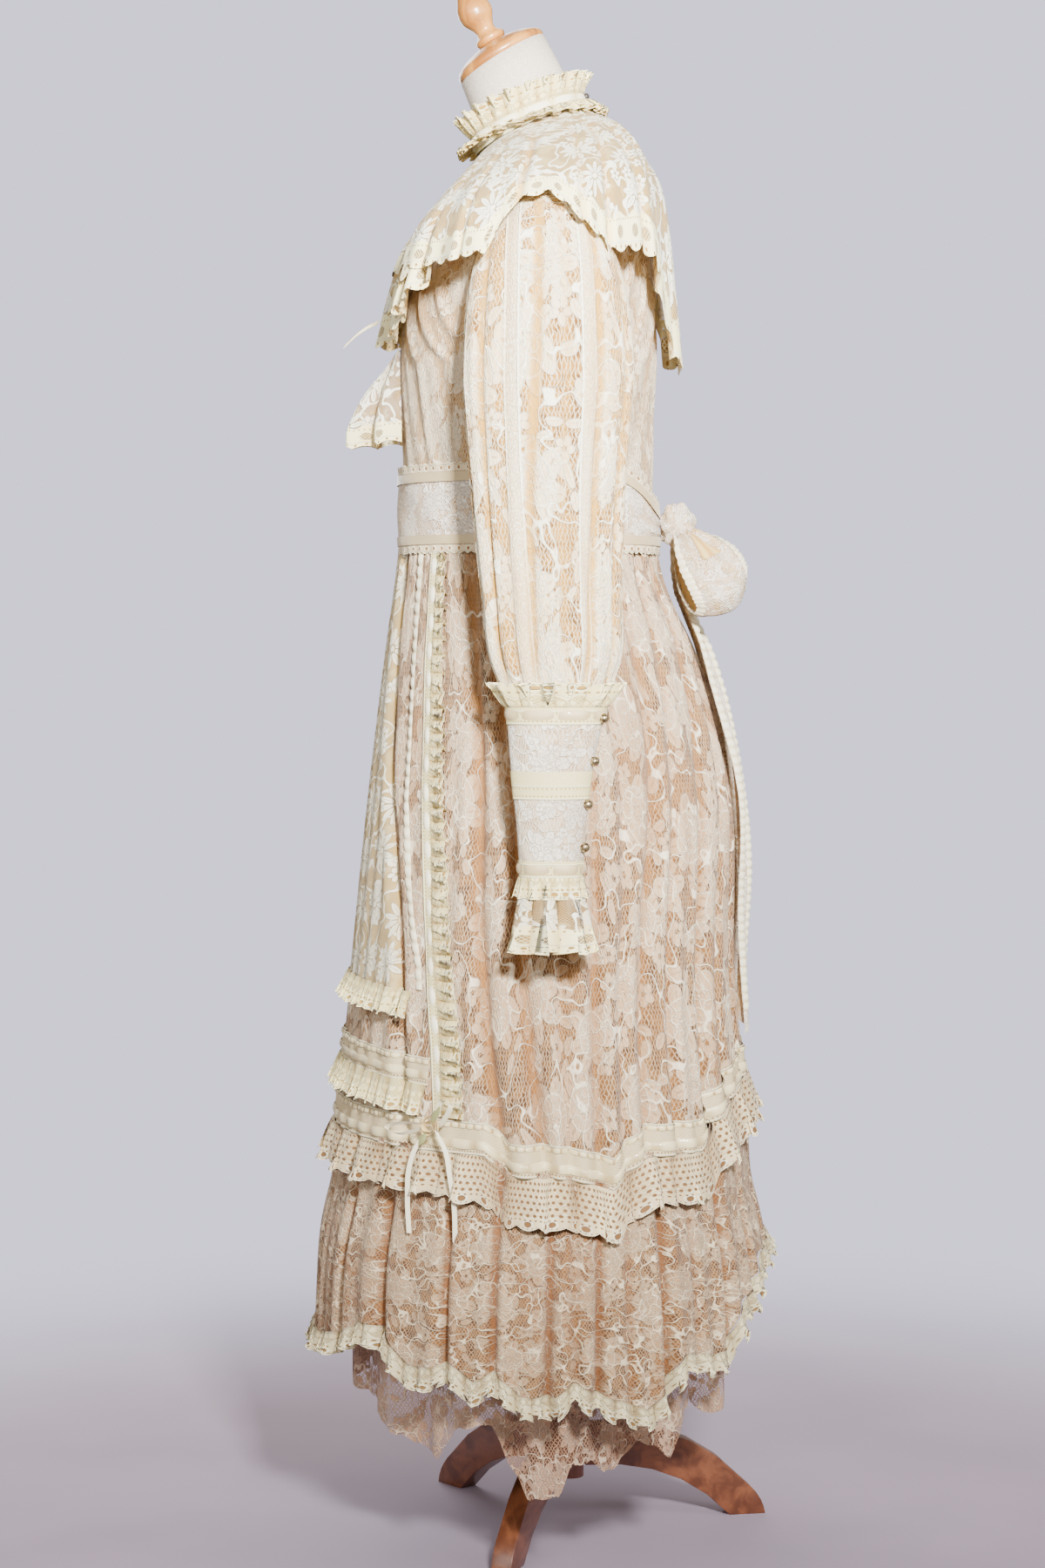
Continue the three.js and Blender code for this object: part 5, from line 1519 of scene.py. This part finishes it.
# ---- cape, cascades and jabot ----
capeNames = ("reach", "zFront", "zSide", "zBack", "yFront", "yBack", "halfWidth")
cape = {
    "rings": columns(capeNames, [
        (0, 1316, 1343, 1362, -90.4, 16.5, 60), (0.25, 1296, 1326, 1344, -106, 50, 108),
        (0.5, 1264, 1300, 1312, -132, 72, 158), (0.7, 1224, 1262, 1276, -160, 86, 204),
        (1, 1110, 1150, 1104, -186, 101, 242)]),
    "edge": columns(("bearing", "reach"), [
        (0, 0.76), (20, 0.77), (40, 0.82), (60, 0.85), (76, 0.86), (86, 0.73), (95, 0.72),
        (106, 0.8), (120, 0.86), (138, 0.84), (155, 0.88), (168, 0.97), (180, 0.99)]),
    "squareness": 0.86, "trackLevels": (0, 0.35, 0.7, 1), "deepest": 10,
    "tracks": bothSides([
        (86, 86, 86, 86, 1.5, 9, 4.2), (68, 67, 66, 64, 0.8, 5, 4), (50, 48, 45, 43, 0.8, 7, 6),
        (28, 27, 25, 24, 0.6, 6.5, 7), (8, 8, 7, 7, 0.6, 5, 7), (104, 105, 107, 110, 0.8, 6, 5),
        (118, 119, 120, 122, 0.8, 7.5, 6), (134, 136, 139, 140, 0.8, 6, 6),
        (150, 152, 154, 156, 0.8, 7.5, 7), (166, 167, 168, 170, 0.8, 6, 6)]),
    "unroll": 0.516, "neckRadius": 111, "reachLength": 290, "edgeLength": 1330,
    "layerPerDegree": 10.5, "layerCutPerDegree": 9.5, "layerTall": 48,
    # each layer under the front: its reaches, how far round, how far under, and its waves
    "cascades": (("Middle", 0.7, 0.85, 56, 2.3, 9), ("Lower", 0.74, 0.905, 49, 4.6, 8)),
}


def capeAt(bearing, reach, out=0.0):
    ring = smoothRows(cape["rings"], "reach", reach)
    push, paintedShade = troughs(bearing, reach, cape, 1.3 + 2.2 * reach)
    loose = np.clip((reach - 0.45) / 0.55, 0, 1)
    flute = 6 * loose * np.cos(np.radians(10 * around(bearing) + 20))
    fine = loose * (1.4 * np.sin(math.tau * 31 * np.asarray(bearing) / 360) + 1.5 * wander(
        np.asarray(bearing) / 360, 7))
    slant = np.clip(1 - reach * 1.1, 0.08, 0.9)
    lift = outwards(bearing) * (1 - slant)[..., None] + stacked(0, 0, slant)
    place = ringPoint(ring, bearing, None, cape["squareness"])
    place = place + scaled(outwards(bearing), flute + fine)
    place = place + scaled(lift, push * np.clip(reach * 2.5, 0, 1) + out)
    return place, paintedShade * np.clip(reach * 3, 0, 1)


def capeCloth(bearing, reach):
    # a flat cone's coordinates, with its join at the back
    radius = cape["neckRadius"] + reach * cape["reachLength"]
    angle = np.radians(turned(bearing)) * cape["unroll"]
    return flatSpot(radius * np.sin(angle), radius * np.cos(angle))


def scallopRise(run):
    # how far a scalloped edge of daisy lace is drawn up, as a share of the cape's reach
    rise = daisy["scallopDepth"] * (1 - np.abs(np.sin(math.pi * run / daisy["scallop"])))
    return rise / cape["reachLength"]


def makeCape():
    def shape(u, v):
        bearing = 360 * u - 179.99
        edge = np.interp(around(bearing), cape["edge"]["bearing"], cape["edge"]["reach"])
        run = cape["edgeLength"] * u
        reach = (edge - scallopRise(run)) * (1 - v)
        points, paintedShade = capeAt(bearing, reach)
        return {"points": points, "cloth": capeCloth(bearing, reach), "paintedShade": paintedShade,
                "edge": flatSpot(run, (edge - reach) * cape["reachLength"] + 2)}

    clothPiece("capeCloth", shape, 544, 60, "daisyLace", "daisy_lace", ["cape"], closed=True,
               flat=(0.72, 0.72), area=0.185, held="draped",
               rests=["bodiceFrontCloth", "bodiceBackCloth"])
    for name, start, end, half, under, waves in cape["cascades"]:
        def layer(u, v, start=start, end=end, half=half, under=under, waves=waves):
            bearing = (2 * u - 1) * half
            away = np.abs(2 * u - 1)
            low = end - 0.05 * away ** 3 + 0.03 * np.exp(-(bearing / 17) ** 2)
            run = u * half * cape["layerPerDegree"]
            reach = start + (low - scallopRise(run) - start) * (1 - v)
            points = capeAt(bearing, reach, -under)[0]
            phase = math.tau * waves * u + 1.4 * wander(u, under)
            points = points + scaled(outwards(bearing), 4.5 * np.sin(phase) * (1 - v))
            # painted shade in the hollows of the layer's waves
            return {"points": points, "cloth": capeCloth(bearing, reach) + (under * 9, 0),
                    "paintedShade": np.clip(0.35 - 0.7 * np.sin(phase), 0, 1) * 0.7,
                    "edge": flatSpot(run, (low - reach) * cape["reachLength"] + 2)}

        sheet = (half * cape["layerCutPerDegree"] * metre, cape["layerTall"] * metre)
        clothPiece("cascadeCloth" + name, layer, 240, 20, "daisyLace", "daisy_lace",
                   ["cascade_" + name.lower()], flat=sheet, held="draped",
                   rests=["bodiceFrontCloth"])


jabot = {
    "rows": columns(("height", "forward", "half"), [
        (1042, 51, 42), (1060, 50, 41), (1078, 43, 38), (1100, 30, 33), (1119, 14, 28), (1136, 2, 24)]),
    "low": 1043, "tall": 93, "cutWidth": 190, "ribbonLength": 41,
    "ribbonStart": (6, -184, 1162), "ribbonEnd": (8, -217, 1138), "ribbonAcross": (0.2, 0.5, 0.84),
}


def makeJabot():
    def shape(u, v):
        side = 2 * u - 1
        height = jabot["low"] + jabot["tall"] * v
        row = smoothRows(jabot["rows"], "height", height)
        fold = 0.5 + 0.5 * np.cos(side * math.pi * 2.5)
        forward = row["forward"] * (0.45 + 0.55 * fold) * (1 - np.abs(side) ** 1.6) ** 0.8
        scallop = 3 * np.abs(np.sin(u * math.pi * 9)) * (1 - v) ** 4
        ring = smoothRows(bodice["rings"], "number", np.full_like(u, 2))
        flat = ringPoint(ring, np.degrees(np.arcsin(row["half"] * side / ring["halfWidth"])))
        points = stacked(row["half"] * side, flat[:, 1] - 3 - forward,
                         height + 5 * side ** 2 - 2 + scallop)
        cloth = flatSpot(side * jabot["cutWidth"] / 2, height)
        # painted shade between its folds
        return {"points": points, "cloth": cloth, "paintedShade": (1 - fold) * 0.6,
                "edge": flatSpot(u * jabot["cutWidth"], height - jabot["low"] + 3)}

    clothPiece("jabotCloth", shape, 90, 32, "sheerDaisy", "daisy_lace", ["jabot"], flat=(0.15, 0.1),
               held="draped", rests=["cascadeClothLower"])
    # the end of a narrow ribbon sticks out from under the cascade
    start, end, across = (np.array(jabot["ribbon" + part]) for part in ("Start", "End", "Across"))

    def endAt(s, t, out):
        middle = start + (end - start) * s[:, None] + stacked(out, 0, 3 * np.sin(math.pi * s))
        return middle + across * t[:, None]

    strip("jabotRibbon", endAt,
          {"length": jabot["ribbonLength"], "wide": 5, "clear": 0.3, "step": 2}, "bandSatin",
          "satin_ribbon", rests=["cascadeClothLower"])


makeCollar()
makeCape()
makeJabot()
print("collar, cape and jabot are in place")

# ---- rosette bows at the panel's foot ----
rosette = {
    "height": 424, "bearing": 61.5, "out": 9, "wide": {"Loop": 6.2, "Tail": 4.4},
    # which way the ribbons' width lies: forward, up and out
    "lean": {"Loop": (0.25, 0.45, 0.86), "Tail": (0.9, 0.1, 0.4)},
    # each ribbon as its way round: millimetres forward, up and out of the skirt from the knot
    "loops": (
        ((0, 0, 3), (12, 3, 13), (26, 3, 20), (38, -2, 21), (30, -7, 17), (14, -4, 10), (0, 0, 2)),
        ((0, 0, 3), (-8, 12, 9), (-15, 25, 12), (-22, 22, 11), (-15, 8, 8), (-6, 0, 5), (0, 0, 2)),
    ),
    "tails": (
        ((0, 0, 2), (6, -8, 8), (14, -20, 10), (20, -38, 11), (23, -66, 9), (22, -98, 8)),
        ((0, 0, 2), (-9, -7, 9), (-18, -20, 12), (-24, -44, 14), (-27, -70, 12), (-27, -102, 10)),
    ),
    "leaves": ((2.15, 19), (5.2, 14)),       # which way each points, in radians, and its length
}


def makeRosettes():
    knot = onSkirt(np.array(rosette["bearing"]), np.array(rosette["height"]), rosette["out"])
    outward = outwards(rosette["bearing"])
    forward = np.array([outward[1], -outward[0], 0.0])
    forward = forward * np.sign(-forward[1])
    up = np.array([0.0, 0.0, 1.0])
    for side, mirror in (("Left", False), ("Right", True)):
        for kind, ways in (("Loop", rosette["loops"]), ("Tail", rosette["tails"])):
            for number, way in enumerate(ways, 1):
                way = np.array(way, float)
                steps = np.concatenate([[0], np.cumsum(np.linalg.norm(np.diff(way, axis=0), axis=1))])
                table = {"run": steps, "forward": way[:, 0], "up": way[:, 1], "away": way[:, 2]}
                lean = np.array(rosette["lean"][kind])
                lean = lean / np.linalg.norm(lean)

                def ribbon(s, t, out, table=table, lean=lean):
                    spot = smoothRows(table, "run", s * table["run"][-1])
                    across = forward * lean[0] + up * lean[1] + outward * lean[2]
                    middle = (knot + scaled(np.broadcast_to(forward, (len(s), 3)), spot["forward"])
                              + scaled(np.broadcast_to(up, (len(s), 3)), spot["up"])
                              + scaled(np.broadcast_to(outward, (len(s), 3)), spot["away"] + out))
                    narrow = 0.45 + 0.55 * np.clip(s * 4, 0, 1)
                    return middle + across * (t * narrow)[:, None]

                first = kind == "Loop" and number == 1
                strip(f"rosette{kind}{number}{side}", ribbon,
                      {"length": steps[-1], "wide": rosette["wide"][kind], "clear": 0.4, "step": 2},
                      "satin", "satin_ribbon", ["trim_bow_" + side.lower()] if first else (),
                      mirror=mirror, rests=["skirtCloth"])

        def petal(u, v):
            # a ribbon wound into a rose: the spiral's edge stands up and curls outwards
            turn = math.tau * 2.4 * u + 1
            radius = 2 + 6.5 * u + 2.4 * v ** 2 * (0.6 + 0.4 * np.sin(turn * 2.3))
            away = 7 + 6.5 * v * (1.15 - 0.6 * u)
            points = (knot + forward * (radius * np.cos(turn))[:, None]
                      + up * (radius * np.sin(turn))[:, None] + outward * away[:, None])
            # painted shade at the foot of the wound ribbon, next to the skirt
            return {"points": points, "edge": flatSpot(u * 80, v * 8), "paintedShade": (1 - v) * 0.6}

        clothPiece("rose" + side, petal, 80, 6, "rose", "satin_ribbon", mirror=mirror,
                   flat=(0.085, 0.008), rests=["skirtCloth"])
        for number, (turn, length) in enumerate(rosette["leaves"], 1):
            def leaf(u, v, turn=turn, length=length):
                along = 5 + length * u
                half = 3.2 * np.sin(math.pi * np.clip(u, 0.03, 0.97)) * (2 * v - 1)
                x = np.cos(turn) * along - np.sin(turn) * half
                z = np.sin(turn) * along + np.cos(turn) * half
                away = 11 + 2 * np.sin(2 * u) - np.abs(half) * 0.3
                points = knot + forward * x[:, None] + up * z[:, None] + outward * away[:, None]
                return {"points": points, "edge": flatSpot(u * length, v * 6)}

            clothPiece(f"roseLeaf{number}{side}", leaf, 10, 6, "leafSatin", "satin_ribbon", mirror=mirror,
                       flat=(length * metre, 0.0065), rests=["skirtCloth"])


makeRosettes()
print("rosettes are in place")


# ---- buttons, form and stand ----
def smoothCopy(node, name, finish, slot, bevel=0.0):
    # a CAD body's own surface, welded and rounded
    bm = bmesh.new()
    source = bpy.data.objects[node]
    bm.from_mesh(source.data)
    bm.transform(source.matrix_world)
    bmesh.ops.remove_doubles(bm, verts=bm.verts, dist=solidGap)
    if bevel:
        sharp = [edge for edge in bm.edges if edge.is_manifold and edge.calc_face_angle() > 0.5]
        bmesh.ops.bevel(bm, geom=sharp, offset=bevel, offset_type="OFFSET", affect="EDGES",
                        segments=3, profile=0.5, material=-1, clamp_overlap=True)
    bmesh.ops.recalc_face_normals(bm, faces=bm.faces)
    mesh = meshOf(bm, name)
    mesh.shade_smooth()
    return placed(name, mesh, finish, slot, [node])


def spunAbout(name, profile, finish, slot, stands, base, lean=0.0, segments=48):
    # a profile of radii and heights turned about an axis that leans forwards
    bm = bmesh.new()
    verts = [bm.verts.new((radius, 0, height)) for radius, height in profile]
    edges = [bm.edges.new(pair) for pair in zip(verts, verts[1:])]
    bmesh.ops.spin(bm, geom=verts + edges, cent=(0, 0, 0), axis=(0, 0, 1), angle=math.tau,
                   steps=segments, use_merge=True, use_duplicate=False)
    bmesh.ops.remove_doubles(bm, verts=bm.verts, dist=0.01)
    bmesh.ops.recalc_face_normals(bm, faces=bm.faces)
    mesh = meshOf(bm, name)
    tilt = Matrix.Translation(Vector(base)) @ Matrix.Rotation(math.radians(lean), 4, "X")
    mesh.transform(Matrix.Translation(Vector(postAxis)) @ Matrix.Scale(metre, 4) @ tilt)
    mesh.shade_smooth()
    return placed(name, mesh, finish, slot, stands)


def rounded(points, radius=1.2, steps=3):
    # a profile's corners softened with short arcs
    points = [np.array(point, float) for point in points]
    soft = [points[0]]
    for before, corner, after in zip(points, points[1:], points[2:]):
        back, on = before - corner, after - corner
        reach = min(radius, np.linalg.norm(back) * 0.45, np.linalg.norm(on) * 0.45)
        start = corner + back / np.linalg.norm(back) * reach
        end = corner + on / np.linalg.norm(on) * reach
        for i in range(steps + 1):
            t = i / steps
            soft.append(start * (1 - t) ** 2 + corner * 2 * t * (1 - t) + end * t ** 2)
    return soft + [points[-1]]


neck = {
    "axis": (0, -65, 1411.5), "lean": 30.7,
    "cap": ((0, 0.3), (45, 0.3), (46, 2), (46, 5), (43, 9), (33, 14), (18, 18), (13, 19), (0, 19)),
    "finial": ((0, 19.2), (13, 19.2), (15, 22), (15, 25), (11, 28), (9, 32), (11, 38), (16, 46), (17, 53),
               (15, 61), (10, 69), (8, 73), (12, 76), (12, 80), (8, 83), (11, 88), (11, 93), (7, 99),
               (0, 101)),
}
post = {"low": 44, "high": 772.6, "radius": 13.5}


def makeButtons():
    ball = cuff["buttonRadius"]
    profile = [(ball * math.sin(a), -ball * math.cos(a)) for a in np.linspace(0, math.pi, 17)]
    for side, way in (("left", 1), ("right", -1)):
        for number, height in enumerate(cuff["buttonHeights"], 1):
            row = smoothRows(cuff["rows"], "height", np.array(float(height)))
            spot = tubeAt(row, cuff["buttonBearing"], 2.5, height) * (way, 1, 1)
            spunAbout(f"cuffButton{number}{side.title()}", profile, "silver", "silver_button",
                      [f"cuff_button_{number}_{side}"], spot, segments=24)
    hook = ringPoint(smoothRows(collar["band"], "number", np.array(0.75)), 180) + (0, 2.2, 0)
    small = [(radius * 0.75, height * 0.75) for radius, height in profile]
    spunAbout("collarStud", small, "darkStud", "silver_button", ["collar_button"], hook, segments=24)


def makeForm():
    smoothCopy("form_torso", "formCloth", "linen", "form_linen")
    spunAbout("neckCapTurned", rounded(neck["cap"]), "lightWood", "light_wood", ["neck_cap"],
              neck["axis"], neck["lean"], 64)
    spunAbout("finialTurned", rounded(neck["finial"], 2.2, 4), "lightWood", "light_wood", ["finial"],
              neck["axis"], neck["lean"])
    low, high, radius = post["low"], post["high"], post["radius"]
    spunAbout("postTurned", rounded([(0, low), (radius, low), (radius, high), (0, high)]), "postWood",
              "dark_wood", ["stand_post"], (0, 0, 0))
    for number in (1, 2, 3):
        smoothCopy(f"stand_leg_{number}", f"standLeg{number}", "darkWood", "dark_wood", bevel=0.0025)


def makeFloor():
    bm = bmesh.new()
    bmesh.ops.create_circle(bm, cap_ends=True, radius=studio["floorRadius"], segments=96)
    mesh = meshOf(bm, "floor")
    floor = bpy.data.objects.new("floor", mesh)
    bpy.context.scene.collection.objects.link(floor)
    mesh.materials.append(finishes["floor"])


makeButtons()
makeForm()
makeFloor()
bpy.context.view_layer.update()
print("everything is in place")
